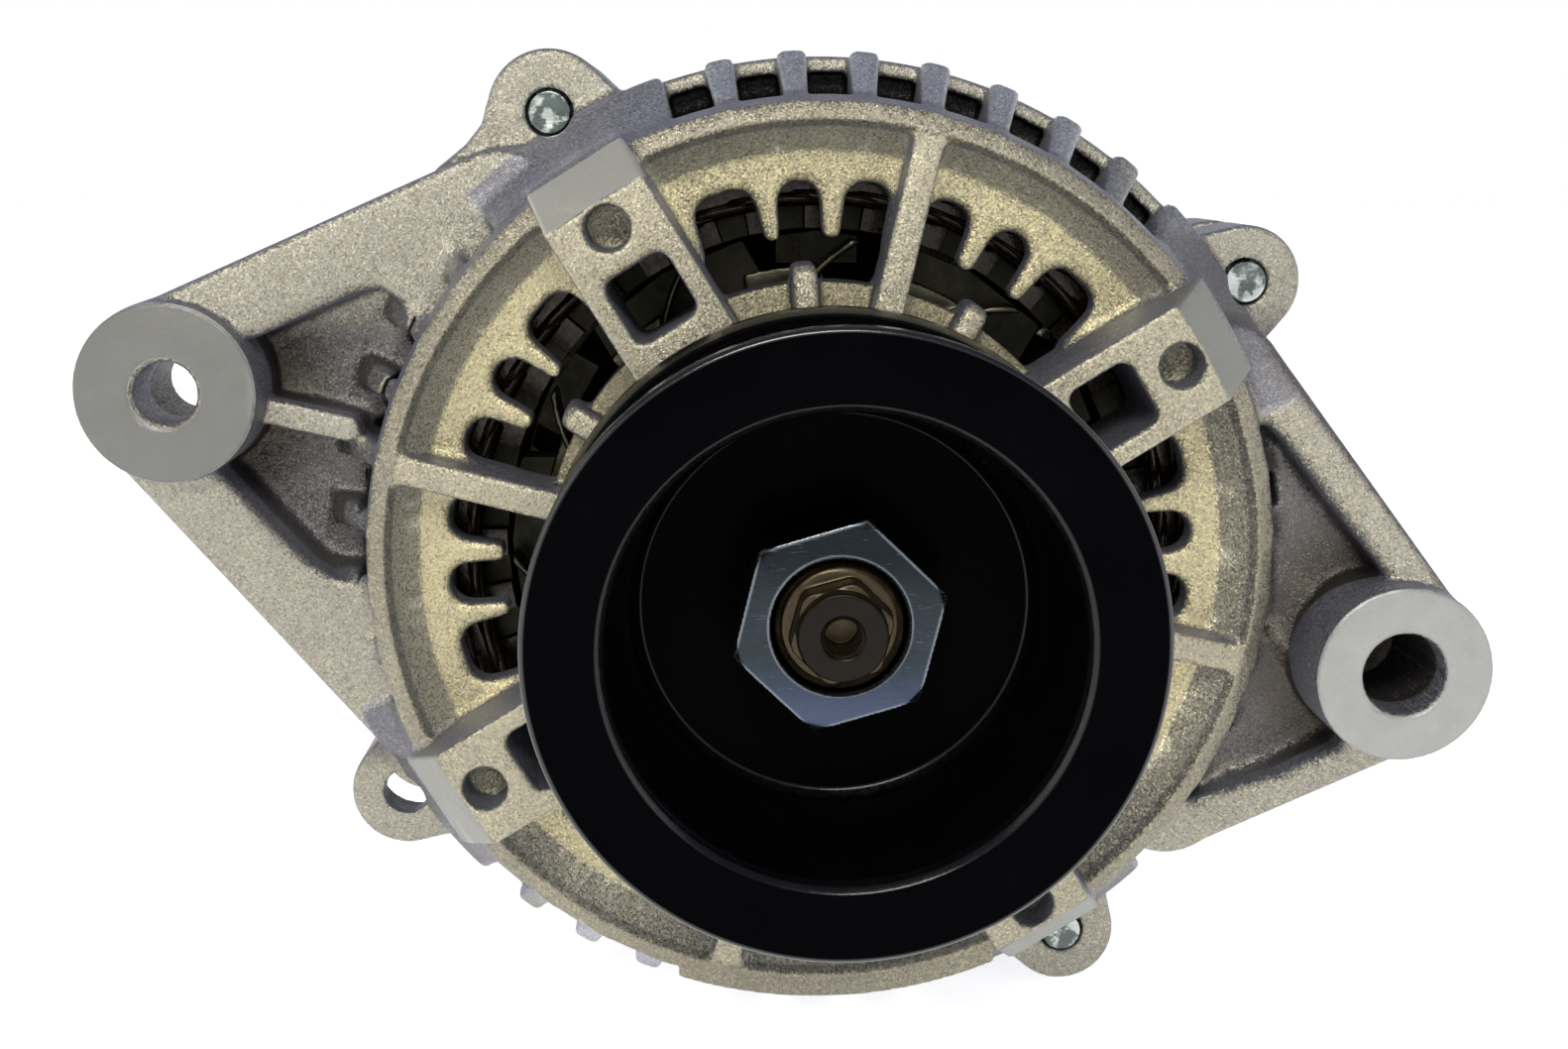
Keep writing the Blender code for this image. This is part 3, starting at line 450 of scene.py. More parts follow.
def build_pockets(field):
    """The ear's gusset, and the dark slots that open along the lip inside both ears."""
    gusset = ((-38.0, 62.7), (-47.2, 63.5), (-48.2, 61.0), (-50.5, 58.2), (-54.5, 55.0), (-56.0, 52.5),
              (-55.0, 40.0), (-40.0, 45.0))
    field.add(extrude(gusset, 62.0, 75.0, 0.9), (-60.0, 38.0, 60.0), (-34.0, 68.0, 77.0), 1.0)
    window = ((61.5, 73.4), (66.6, 73.4), (66.6, 84.2), (61.5, 84.2))
    for angles, reach in (((150.5, 159.2, 172.0, 181.0), ((-70.0, -6.0, 71.0), (-50.0, 40.0, 86.0))),
                          ((8.0, -8.5, -22.0), ((55.0, -32.0, 71.0), (70.0, 16.0, 86.0)))):
        field.cut(fan_of_slabs(window, 5.4, angles, 1.0), *reach, 0.8)


def merge(field, other, blend):
    """Joins another field on the same spacing into this one, sampled at this grid's points."""
    where, x, y, h = field.block(other.low, [axis[-1] for axis in other.axes])
    index = []
    for axis, points in zip(other.axes, (x[:, 0, 0], y[0, :, 0], h[0, 0, :])):
        at = np.clip((points - axis[0]) / other.step, 0.0, len(axis) - 1.001)
        base = at.astype(np.int32)
        index.append((base, (at - base).astype(np.float32)))
    sampled = other.values
    for axis, (base, part) in enumerate(index):
        shape = [1, 1, 1]
        shape[axis] = len(part)
        part = part.reshape(shape)
        sampled = np.take(sampled, base, axis) * (1.0 - part) + np.take(sampled, base + 1, axis) * part
    field.values[where] = smooth_min(field.values[where], sampled, blend)


def build_lugs(field, low, high, open_high):
    """Four bolt lugs, each faired into the flange; the one without a bolt has its own height."""
    for angle in ARM_ANGLES:
        top = open_high if angle == OPEN_LUG_ANGLE else high
        lug = (*polar(BOLT_CIRCLE_R, angle), LUG_R[angle], low, top)
        root = (*polar(60.0, angle), 12.5, low, top)
        reach = block_round(polar(66.75, angle), 23.0, low - 3.0, top + 3.0)
        field.add(bridge(lug, root, 0.9), *reach, 2.0)


def build_front(field):
    """Fingers, ribs, arms and the bearing hub."""
    room = ((0.0, 81.4), (57.8, 81.4), (60.7, 72.2), (64.72, 72.2), (64.72, 50.0), (0.0, 50.0))
    field.cut(revolve(room), *ring_block(71.5, 64.0, 84.0), 0.3)
    for rib in RIB_ANGLES:
        for offset, width in ((6.3, 6.6), (17.3, 5.9), (29.0, 8.6)):
            for angle in (rib - offset, rib + offset):
                outline = slot_outline(40.0, 53.3, width, 2.85, angle)
                reach = block_round(polar(48.0, angle), 13.0, 79.0, 89.0)
                field.cut(extrude(outline, 80.0, 88.0, 0.0), *reach, 1.3)
    rib = ((28.5, PLATE_BACK), (58.0, PLATE_BACK), (61.6, 85.4), (61.6, 90.8), (60.4, 91.9), (28.5, 94.5))
    stub = ((30.0, PLATE_BACK), (41.2, PLATE_BACK), (42.2, 82.7), (42.0, 89.0), (41.0, 90.5), (30.0, 91.5))
    arm = ((28.0, PLATE_BACK), (58.0, PLATE_BACK), (60.4, 78.0), (60.4, 74.5), (65.4, 74.5), (65.6, 90.8),
           (64.8, 92.4), (58.9, ARM_FACE), (28.0, ARM_FACE))
    for angle in RIB_ANGLES:
        field.add(radial_slab(rib, 4.2, angle, 0.7), *slab_block(45.0, 18.0, angle, 80.0, 95.0), 1.6)
        for turn in (angle - 17.4, angle + 17.4):
            field.add(radial_slab(stub, 3.7, turn, 1.2), *slab_block(36.0, 8.0, turn, 80.0, 93.0), 1.6)
    for angle in ARM_ANGLES:
        field.add(radial_slab(arm, 15.2, angle, 0.5), *slab_block(46.5, 20.0, angle, 73.0, 102.0), 1.5)
    hub = ((32.0, 102.95), (32.0, 88.0), (39.5, 87.2), (39.5, 80.0), (23.8, 80.0), (23.8, 94.9),
           (15.5, 94.9), (15.5, 102.95))
    field.add(revolve(hub), *ring_block(39.5, 80.0, 103.0), 1.0)
    for angle in ARM_ANGLES:
        center = polar(44.9, angle)
        opening = extrude(rounded_square(center, 4.75, 1.6, angle), 75.0, 106.0, 0.0)
        field.cut(opening, *block_round(center, 9.0, 76.0, 104.0), 0.8)


def slab_block(middle, half_length, angle, low, high):
    """Corners of a block of space round a slab that stands out at an angle."""
    x, y = polar(middle, angle)
    cos, sin = polar(half_length + 9.0, angle)
    dx, dy = abs(cos) + 10.0, abs(sin) + 10.0
    return (x - dx, y - dy, low - 2.0), (x + dx, y + dy, high + 2.0)


def bore(field, center, profile, reach, low, high, blend):
    """Cuts a turned outline round a line parallel to the shaft."""
    field.cut(revolve(profile, center), *block_round(center, reach, low, high), blend)


def hole(field, center, radius, low, high):
    """Cuts a plain round hole."""
    profile = ((0.0, high), (radius, high), (radius, low), (0.0, low))
    bore(field, center, profile, radius + 2.0, low, high + 1.0, 0.25)


def build_holes(field):
    """Bolt holes, the blind holes of the arms and the bores of both ears."""
    blind = ((0.0, 105.0), (3.5, 105.0), (3.5, 101.1), (3.05, 100.5), (3.05, 94.8), (0.0, 93.2))
    for angle in ARM_ANGLES:
        bore(field, polar(55.6, angle), blind, 6.0, 92.0, 103.0, 0.2)
        hole(field, polar(BOLT_CIRCLE_R, angle), 3.42, 55.0, 80.0)
    hole(field, polar(BOLT_CIRCLE_R, OPEN_LUG_ANGLE), 6.2, 55.0, 71.5)
    flared = ((0.0, 93.0), (7.2, 93.0), (4.3, 90.1), (4.3, 60.0), (0.0, 60.0))
    bore(field, ADJUST_EAR, flared, 9.0, 64.0, 93.0, 0.15)
    chamfered = ((0.0, 106.0), (6.3, 106.0), (6.3, 101.0), (5.8, 100.5), (5.8, 60.0), (0.0, 60.0))
    bore(field, PIVOT_EAR, chamfered, 9.0, 80.0, 103.0, 0.15)


def drive_end_casting():
    field = Field((-103.8, -76.0, 61.0), (94.5, 76.0, 104.2), VOXEL)
    build_shell(field)
    build_lugs(field, 62.0, FLANGE_FRONT, FLANGE_FRONT)
    build_ears(field)
    build_pockets(field)
    build_front(field)
    build_holes(field)
    return casting("drive_end_casting", field, 190000)


# ---------------------------------------------------------------- rear casting and cover

COVER_SLOTS = (30.0, 60.0, 112.0, 180.0, 240.0, 270.0, 300.0)
POST_ANGLES = (90.0, 210.0, 330.0)
POST_CIRCLE_R = 50.0
STUD_CENTER = polar(46.0, 352.0)
CONNECTOR_ANGLE = 135.0


def rear_end_casting():
    """Rear frame: open shell with windows, lugs, pivot ear, bearing pocket and cover posts."""
    field = Field((-76.0, -76.0, 5.0), (94.5, 76.0, 58.0), VOXEL * 1.1)
    shell = ((70.5, 52.0), (70.5, 43.5), (67.2, 42.5), (62.4, 28.0), (20.5, 28.0), (20.5, 24.4),
             (12.6, 24.4), (12.6, 26.2), (16.3, 26.2), (16.3, 37.4), (20.5, 37.4), (20.5, 33.0),
             (56.5, 33.0), (59.6, 36.0), (59.6, 45.7), (64.8, 45.7), (64.8, 52.0))
    field.add(revolve(shell), *ring_block(70.5, 24.0, 52.0), 0.0)
    window = ((56.0, 36.4), (76.0, 36.4), (76.0, 41.6), (56.0, 41.6))
    angles = [rib + 15.0 * (k - 1) for rib in RIB_ANGLES for k in range(3)]
    field.cut(fan_of_slabs(window, 10.0, angles, 0.9), *ring_block(70.5, 34.0, 44.0), 0.9)
    build_lugs(field, 42.5, 56.0, 51.0)
    reach = ((40.0, -46.0, 23.0), (94.0, 26.0, 53.0))
    for end in ((60.0, 8.0, 6.4, 35.7, 49.6), (54.0, -30.0, 6.4, 35.7, 49.6)):
        field.add(bridge((*PIVOT_EAR, 11.4, 30.4, 45.7), end, 1.2), *reach, 1.8)
    field.add(disc(PIVOT_EAR, 12.0, 26.0, 46.0, 0.4), *reach, 0.8)
    room = ((0.0, 70.0), (64.75, 70.0), (64.75, 45.75), (59.55, 45.75), (59.55, 36.0), (56.4, 33.05),
            (16.3, 33.05), (16.3, 26.3), (0.0, 26.3))
    field.cut(revolve(room), *ring_block(68.0, 26.0, 57.0), 0.2)
    for angle in COVER_SLOTS:
        end = 42.0 if 45.0 < angle < 135.0 else 52.0
        slot = extrude(slot_outline(26.0, end, 6.0, 2.9, angle), 20.0, 35.0, 0.0)
        field.cut(slot, *block_round(AXIS, 56.0, 26.0, 35.0), 0.7)
    post = ((0.0, 29.0), (3.2, 29.0), (3.2, 6.8), (2.1, 6.8), (2.1, 0.9), (0.0, 0.9))
    for angle in POST_ANGLES:
        center = polar(POST_CIRCLE_R, angle)
        field.add(revolve(post, center), *block_round(center, 6.0, 5.0, 32.0), 0.6)
    for angle in ARM_ANGLES:
        hole(field, polar(BOLT_CIRCLE_R, angle), 3.6, 35.0, 60.0)
    bore(field, PIVOT_EAR, ((0.0, 60.0), (7.5, 60.0), (7.5, 20.0), (0.0, 20.0)), 10.0, 23.0, 50.0, 0.2)
    return casting("rear_end_casting", field, 150000)


def cover_shell():
    """The pressed rear cover with its louvre slots."""
    field = Field((-64.0, -64.0, -1.5), (64.0, 64.0, 28.5), VOXEL)
    profile = ((0.0, 1.2), (30.0, 1.2), (30.9, 1.7), (33.2, 5.6), (34.0, 6.0), (57.9, 6.1), (59.4, 6.9),
               (60.9, 8.9), (61.3, 10.0), (61.3, 27.0), (62.5, 27.0), (62.5, 9.4), (61.9, 7.9),
               (60.0, 5.5), (58.4, 4.9), (34.6, 4.8), (33.9, 4.4), (31.8, 0.5), (30.9, 0.0), (0.0, 0.0))
    field.add(revolve(profile), *ring_block(62.5, 0.0, 27.0), 0.0)
    for angle in COVER_SLOTS:
        slot = extrude(slot_outline(37.5, 56.0, 5.0, 2.45, angle), -4.0, 9.0, 0.0)
        field.cut(slot, *block_round(AXIS, 60.0, -1.5, 9.0), 0.3)
    for angle in POST_ANGLES:
        hole(field, polar(POST_CIRCLE_R, angle), 2.6, -1.5, 9.0)
    hole(field, STUD_CENTER, 7.8, -1.5, 9.0)
    corners = ((-4.0, -10.5), (4.0, -10.5), (4.0, 10.5), (-4.0, 10.5))
    window = turned(corners, CONNECTOR_ANGLE, polar(62.0, CONNECTOR_ANGLE))
    field.cut(extrude(window, 5.6, 40.0, 0.0), (-64.0, 20.0, 3.0), (-20.0, 64.0, 28.5), 0.3)
    return casting("rear_cover_shell", field, 120000)


# ---------------------------------------------------------------- turned and pressed pieces

def rounded(profile, radius=0.3, parts=3):
    """The profile with every corner eased by about that radius."""
    points = []
    count = len(profile)
    for i, (px, py) in enumerate(profile):
        ax, ay = profile[i - 1]
        bx, by = profile[(i + 1) % count]
        before = math.hypot(ax - px, ay - py)
        after = math.hypot(bx - px, by - py)
        if px == 0.0 or before < 1e-6 or after < 1e-6:
            points.append((px, py))
            continue
        reach = min(radius, before * 0.4, after * 0.4)
        start = (px + (ax - px) / before * reach, py + (ay - py) / before * reach)
        end = (px + (bx - px) / after * reach, py + (by - py) / after * reach)
        for step in range(parts + 1):
            t = step / parts
            points.append(tuple((1 - t) ** 2 * s + 2 * t * (1 - t) * p + t * t * e
                                for s, p, e in zip(start, (px, py), end)))
    return points


def lathe(name, profile, steps=128, center=AXIS, sharp=38.0):
    """A (radius, height) outline turned round an axis; it runs down its outer side."""
    bm = bmesh.new()
    rings = []
    on_axis = profile[0][0] == 0.0
    for r, h in profile:
        if r == 0.0:
            rings.append([bm.verts.new(world(center[0], center[1], h))] * steps)
            continue
        ring = []
        for i in range(steps):
            x, y = polar(r, 360.0 * i / steps)
            ring.append(bm.verts.new(world(center[0] + x, center[1] + y, h)))
        rings.append(ring)
    pairs = list(zip(rings, rings[1:]))
    if not on_axis:
        pairs.append((rings[-1], rings[0]))
    for upper, lower in pairs:
        for i in range(steps):
            j = (i + 1) % steps
            corners = []
            for vert in (upper[i], lower[i], lower[j], upper[j]):
                if vert not in corners:
                    corners.append(vert)
            if len(corners) > 2:
                bm.faces.new(corners)
    return finish_piece(bm, name, sharp)


def world(x, y, h):
    return x * MM, -h * MM, y * MM


def join_rings(bm, rings):
    """Quads between each closed ring of vertices and the next."""
    for first, second in zip(rings, rings[1:]):
        for i in range(len(first)):
            j = (i + 1) % len(first)
            bm.faces.new((first[i], first[j], second[j], second[i]))


def finish_piece(bm, name, sharp=38.0):
    bmesh.ops.recalc_face_normals(bm, faces=bm.faces)
    mesh = bpy.data.meshes.new(name)
    bm.to_mesh(mesh)
    bm.free()
    mesh.shade_smooth()
    mesh.set_sharp_from_angle(angle=math.radians(sharp))
    return link(name, mesh)


def carve(name, corners, step, most, build):
    """A small machined piece worked out on its own fine grid."""
    field = Field(*corners, step if FINE else step * 2.0)
    build(field)
    return casting(name, field, most)


def hexagon_distance(center, flats, angle):
    def flat(x, y):
        best = None
        for i in range(3):
            nx, ny = polar(1.0, angle + 30.0 + 60.0 * i)
            gap = np.abs((x - center[0]) * nx + (y - center[1]) * ny) - flats / 2.0
            best = gap if best is None else np.maximum(best, gap)
        return best
    return flat


def screw_wave(x, y, h, pitch):
    """Height above the root of a screw thread, from 0 to half its pitch."""
    turn = np.arctan2(y, x) / (2.0 * math.pi)
    return np.abs(((h / pitch - turn) % 1.0) - 0.5) * pitch


def hex_nut(name, flats, low, high, center, angle, bore_r, chamfer_low=True, step=0.2, most=30000,
            recess=0.6, face=None):
    """A hexagon nut with turned chamfers on its corners and a threaded bore."""
    face = face or flats / 2.0 - 0.3
    flat = hexagon_distance(center, flats, angle)
    corners = block_round(center, flats / math.sqrt(3.0) + 1.0, low - 1.0, high + 1.0)

    def body(x, y, h):
        dx, dy = x - center[0], y - center[1]
        radius = np.hypot(dx, dy)
        shape = rounded_max(flat(x, y), np.maximum(low - h, h - high), 0.12)
        for side in (high - h, h - low) if chamfer_low else (high - h,):
            shape = smooth_max(shape, (radius - face - side * 1.7) * 0.5, 0.15)
        if bore_r:
            pitch = 1.5 if flats > 15.0 else 0.8
            wave = screw_wave(dx, dy, h, pitch) * 0.9
            chamfer = np.maximum(h - high + recess, 0.0)
            wall = radius - (bore_r - 0.5 * pitch * 0.45 + wave * 0.45 + chamfer)
            shape = smooth_max(shape, -wall, 0.1)
        return shape
    return carve(name, corners, step, most, lambda field: field.add(body, *corners, 0.0))


def pulley_shell():
    """Deep dished pulley; the belt runs in the ribs round its outside."""
    track = []
    for k in range(4):
        top = 133.5 - 4.45 * k
        track += [(37.0, top), (34.4, top - 2.0), (34.4, top - 2.4)]
    profile = [(37.6, 139.45), (38.05, 139.0), (38.05, 136.4), (37.0, 135.6)] + track
    profile += [(37.0, 115.6), (38.05, 112.4), (38.05, 109.75), (16.0, 109.75), (14.0, 104.85), (8.8, 104.85),
                (8.8, 113.9), (25.0, 113.9), (26.1, 115.0), (26.3, 118.5), (28.1, 137.4),
                (28.5, 138.6), (29.3, 139.45)]
    return lathe("pulley_shell", rounded(profile, 0.35), 256, sharp=60.0)


def shaft():
    """Shaft with a threaded end, a hexagon nose and a centre hole."""
    flat = hexagon_distance(AXIS, 11.6, 15.0)
    corners = block_round(AXIS, 9.5, 110.0, 132.5)

    def nose(x, y, h):
        radius = np.hypot(x, y)
        crest = 8.1 - screw_wave(x, y, h, 1.5) * 0.55
        thread = rounded_max(radius - crest + np.maximum(h - 124.9, 0.0) * 0.8, h - 126.0, 0.2)
        hexagon = rounded_max(smooth_max(flat(x, y), radius - 6.4, 0.2), h - 129.6, 0.3)
        tip = rounded_max(radius - 5.5, h - 131.35, 0.35)
        solid = smooth_min(smooth_min(thread, hexagon, 0.4), tip, 0.3)
        solid = np.maximum(solid, 111.0 - h)
        centre = radius - 2.15 - np.maximum(h - 130.6, 0.0) * 0.9
        return smooth_max(solid, -np.maximum(centre, 125.5 - h), 0.15)
    tip = carve("shaft_end", corners, 0.16, 70000, lambda field: field.add(nose, *corners, 0.0))
    profile = ((0.0, 111.5), (8.1, 111.5), (8.1, 103.8), (8.5, 103.6), (8.5, 80.2), (11.5, 80.2),
               (11.5, 75.4), (9.4, 75.4), (9.4, 40.9), (8.0, 40.9), (8.0, 36.9), (6.0, 36.9), (6.0, 23.9),
               (4.4, 23.9), (4.4, 5.6), (0.0, 5.6))
    return fuse("shaft", [tip, lathe("shaft_rod", rounded(profile, 0.25), 96)])


SLOT_COUNT = 36
SLOT_ANGLE = 10.0                   # degrees from slot to slot
CORE_BORE_R = 46.3
CORE_SLOT_R = 58.6
CORE_SLOT_HALF = 2.2
CORE_R = 64.5
CORE_BACK = 46.0
CORE_LAST = 26                      # number of the last level, one to a millimetre
END_TURN_BACK = 45.8                # where the wires bend over, at both ends
END_TURN_FRONT = 72.2


def slotted_core():
    """Laminated ring with open slots inside, cut into a level for each millimetre."""
    bm = bmesh.new()
    pairs = []
    for k in range(SLOT_COUNT):
        mid = SLOT_ANGLE * k
        for radius, side in zip((CORE_BORE_R, CORE_SLOT_R, CORE_SLOT_R, CORE_BORE_R), (-1.0, -1.0, 1.0, 1.0)):
            angle = mid + math.degrees(math.asin(side * CORE_SLOT_HALF / radius))
            pairs.append((polar(radius, angle), polar(CORE_R, angle)))
        for step in range(1, 4):
            angle = mid + 2.7 + step * 1.15
            pairs.append((polar(CORE_BORE_R, angle), polar(CORE_R, angle)))
    outer, inner = [], []
    for level in range(CORE_LAST + 1):
        h = CORE_BACK + level
        outer.append([bm.verts.new(world(*outside, h)) for inside, outside in pairs])
        if level in (0, CORE_LAST):
            inner.append([bm.verts.new(world(*inside, h)) for inside, outside in pairs])
    join_rings(bm, outer)
    join_rings(bm, inner)
    for ends in (outer[0], inner[0]), (outer[-1], inner[-1]):
        join_rings(bm, ends)
    return finish_piece(bm, "stator_laminations", 25.0)


def end_turn(first, second, start, stop, level, height):
    """Points (radius, angle, h) of a wire that arches from one slot to another."""
    points = []
    for t in np.linspace(0.0, 1.0, 13):
        rise = height * math.sin(math.pi * t) ** 0.55
        points.append((first + (second - first) * t, start + (stop - start) * t, level + rise))
    return points


def winding_wires():
    """The stator's wires: straight in the slots, arching from slot to slot at both ends."""
    curve = bpy.data.curves.new("stator_wires", 'CURVE')
    curve.dimensions = '3D'
    curve.bevel_depth = 0.74 * MM
    curve.bevel_resolution = 1 if FINE else 0
    for slot in range(SLOT_COUNT):
        near = SLOT_ANGLE * slot
        far = near + 3.0 * SLOT_ANGLE
        for number, (first, second) in enumerate(((50.1, 51.7), (53.2, 54.8), (56.2, 56.6))):
            for lane in (-0.95, 0.95):
                height = 6.3 - 0.5 * number + lane * 0.3
                points = end_turn(first, second, near, far, END_TURN_FRONT, height)
                points += end_turn(second, first, far, near, END_TURN_BACK, -height)
                spline = curve.splines.new('POLY')
                spline.points.add(len(points) - 1)
                spline.use_cyclic_u = True
                for point, (radius, angle, h) in zip(spline.points, points):
                    x, y = polar(radius, angle + math.degrees(lane / radius))
                    point.co = (*world(x, y, h), 1.0)
    guide = link("stator_wires", curve)
    bpy.context.view_layer.update()
    graph = bpy.context.evaluated_depsgraph_get()
    mesh = bpy.data.meshes.new_from_object(guide.evaluated_get(graph))
    bpy.data.objects.remove(guide)
    mesh.shade_smooth()
    pieces = [link("stator_wires", mesh), slot_bars()]
    for low, high in ((73.3, 77.7), (40.2, 44.7)):
        profile = ((56.4, high), (56.4, low), (50.0, low), (50.0, high))
        pieces.append(lathe("varnished_core", rounded(profile, 1.6, 5), 144))
    return fuse("stator_wires", pieces)


def slot_bars():
    """The insulated wire bundles that fill the slots of the stator."""
    bm = bmesh.new()
    for slot in range(SLOT_COUNT):
        rims = []
        for h in (44.6, 73.4):
            rim = []
            for radius, side in ((46.4, -1.95), (57.2, -1.95), (57.2, 1.95), (46.4, 1.95)):
                x, y = polar(radius, SLOT_ANGLE * slot + math.degrees(math.asin(side / radius)))
                rim.append(bm.verts.new(world(x, y, h)))
            rims.append(rim)
        bm.faces.new(rims[0])
        bm.faces.new(rims[1])
        join_rings(bm, rims)
    return finish_piece(bm, "slot_bars")


FAN_BLADES = 11
FAN_BORE_R = 12.2
FAN_DISC_R = 41.0
BLADE_ROOT_R = 31.8
BLADE_STEPS = 6
BLADE_STEP = 13.3 / BLADE_STEPS     # millimetres outward from point to point along a blade


def fan_wheel(name, plate, blade, lean):
    """Pressed fan: a scalloped disc with curved blades bent up from it."""
    low, high = min(plate[0], blade[0]) - 1.0, max(plate[1], blade[1]) + 1.0
    corners = block_round(AXIS, 46.0, low, high)

    def build(field):
        bottom, top = plate
        profile = ((FAN_DISC_R, top), (FAN_DISC_R, bottom), (FAN_BORE_R, bottom), (FAN_BORE_R, top))
        field.add(revolve(profile), *corners, 0.0)
        for k in range(FAN_BLADES):
            start = 360.0 / FAN_BLADES * k
            inner, outer = [], []
            for i in range(BLADE_STEPS + 1):
                bend = lean * (i / BLADE_STEPS) ** 1.4
                inner.append(polar(BLADE_ROOT_R + BLADE_STEP * i, start + bend))
                outer.append(polar(BLADE_ROOT_R + BLADE_STEP * i, start + 2.2 + bend))
            reach = block_round(polar(38.0, start + lean / 2.0), 12.0, low, high)
            field.add(extrude(inner + outer[::-1], *blade, 0.3), *reach, 0.7)
            corner_rows = ((33.0, 9.0), (33.0, 22.0), (44.0, 24.0), (44.0, 7.0))
            gap = [polar(radius, start + turn) for radius, turn in corner_rows]
            reach = block_round(polar(38.0, start + 15.0), 11.0, low, high)
            field.cut(extrude(gap, bottom - 2.0, top + 0.4, 0.0), *reach, 0.5)
    return carve(name, corners, 0.4, 70000, build)


def thread(radius, low, high, pitch, depth):
    """Thread crests and roots down the outer side of a lathe profile."""
    points = []
    h = high
    while h - pitch > low:
        points += [(radius - depth, h), (radius, h - pitch * 0.45), (radius, h - pitch * 0.55)]
        h -= pitch
    points.append((radius - depth, h))
    return points


def fuse(name, items):
    """Several meshes made into one piece."""
    bm = bmesh.new()
    for item in items:
        bm.from_mesh(item.data)
        mesh = item.data
        bpy.data.objects.remove(item)
        bpy.data.meshes.remove(mesh)
    mesh = bpy.data.meshes.new(name)
    bm.to_mesh(mesh)
    bm.free()
    return link(name, mesh)


def through_bolt(name, angle):
    """A long bolt: threaded tip in the drive-end lug, head behind the rear lug."""
    center = polar(BOLT_CIRCLE_R, angle)
    profile = [(0.0, 75.1), (1.9, 75.15), (2.6, 75.4), (2.9, 75.3)] + thread(3.28, 58.0, 75.1, 1.0, 0.42)
    profile += [(3.1, 57.6), (3.1, 42.4), (6.6, 42.2), (6.6, 41.3), (0.0, 41.3)]
    shank = lathe(name + "_shank", profile, 48, center, 60.0)
    head = hex_nut(name + "_head", 10.0, 36.7, 41.4, center, angle, 0.0, False, 0.25, 6000)
    return fuse(name, [shank, head])


def ball_set(name, circle, ball_r, middle, balls):
    """A cage with its balls."""
    profile = ((circle + 0.8, middle + 2.0), (circle + 0.8, middle - 2.0), (circle - 0.8, middle - 2.0),
               (circle - 0.8, middle + 2.0))
    ring = lathe(name + "_cage", rounded(profile, 0.2), 96)
    bm = bmesh.new()
    for k in range(balls):
        x, y = polar(circle, 360.0 / balls * k)
        where = Matrix.Translation(world(x, y, middle))
        bmesh.ops.create_icosphere(bm, subdivisions=3, radius=ball_r * MM, matrix=where)
    return fuse(name, [ring, finish_piece(bm, name + "_balls", 60.0)])


def coil_spring(name, middle, low, high):
    """Coil spring behind a brush, with closed end turns."""
    turns, wire_r, coil_r, count, sides = 6.0, 0.26, 1.72, 200, 8
    whole = 2.0 * math.pi
    bm = bmesh.new()
    rings = []
    for i in range(count + 1):
        part = i / count
        turn = whole * turns * part
        rise = part - 0.64 * math.sin(whole * part) / whole
        level = low + wire_r + (high - low - 2.0 * wire_r) * rise
        ring = []
        for k in range(sides):
            spin = whole * k / sides
            reach = coil_r + wire_r * math.cos(spin)
            ring.append(bm.verts.new(world(reach * math.cos(turn), level + wire_r * math.sin(spin),
                                           middle + reach * math.sin(turn))))
        rings.append(ring)
    join_rings(bm, rings)
    bm.faces.new(rings[0])
    bm.faces.new(rings[-1])
    return finish_piece(bm, name, 50.0)


def terminal_stud():
    """The output terminal's threaded stud on its square foot."""
    profile = [(0.0, 12.0), (2.9, 12.0)] + thread(2.98, -14.2, 10.4, 1.0, 0.38)
    profile += [(2.2, -14.95), (0.0, -15.0)]
    rod = lathe("stud_rod", profile, 48, STUD_CENTER, 60.0)
    foot = extrude(rounded_square(STUD_CENTER, 5.4, 0.8, 352.0), 10.35, 13.5, 0.3)
    corners = ((34.0, -17.0, 9.0), (58.0, 6.0, 15.0))
    head = carve("stud_plate", corners, 0.3, 5000, lambda field: field.add(foot, *corners, 0.0))
    return fuse("terminal_stud", [rod, head])


# ---------------------------------------------------------------- materials

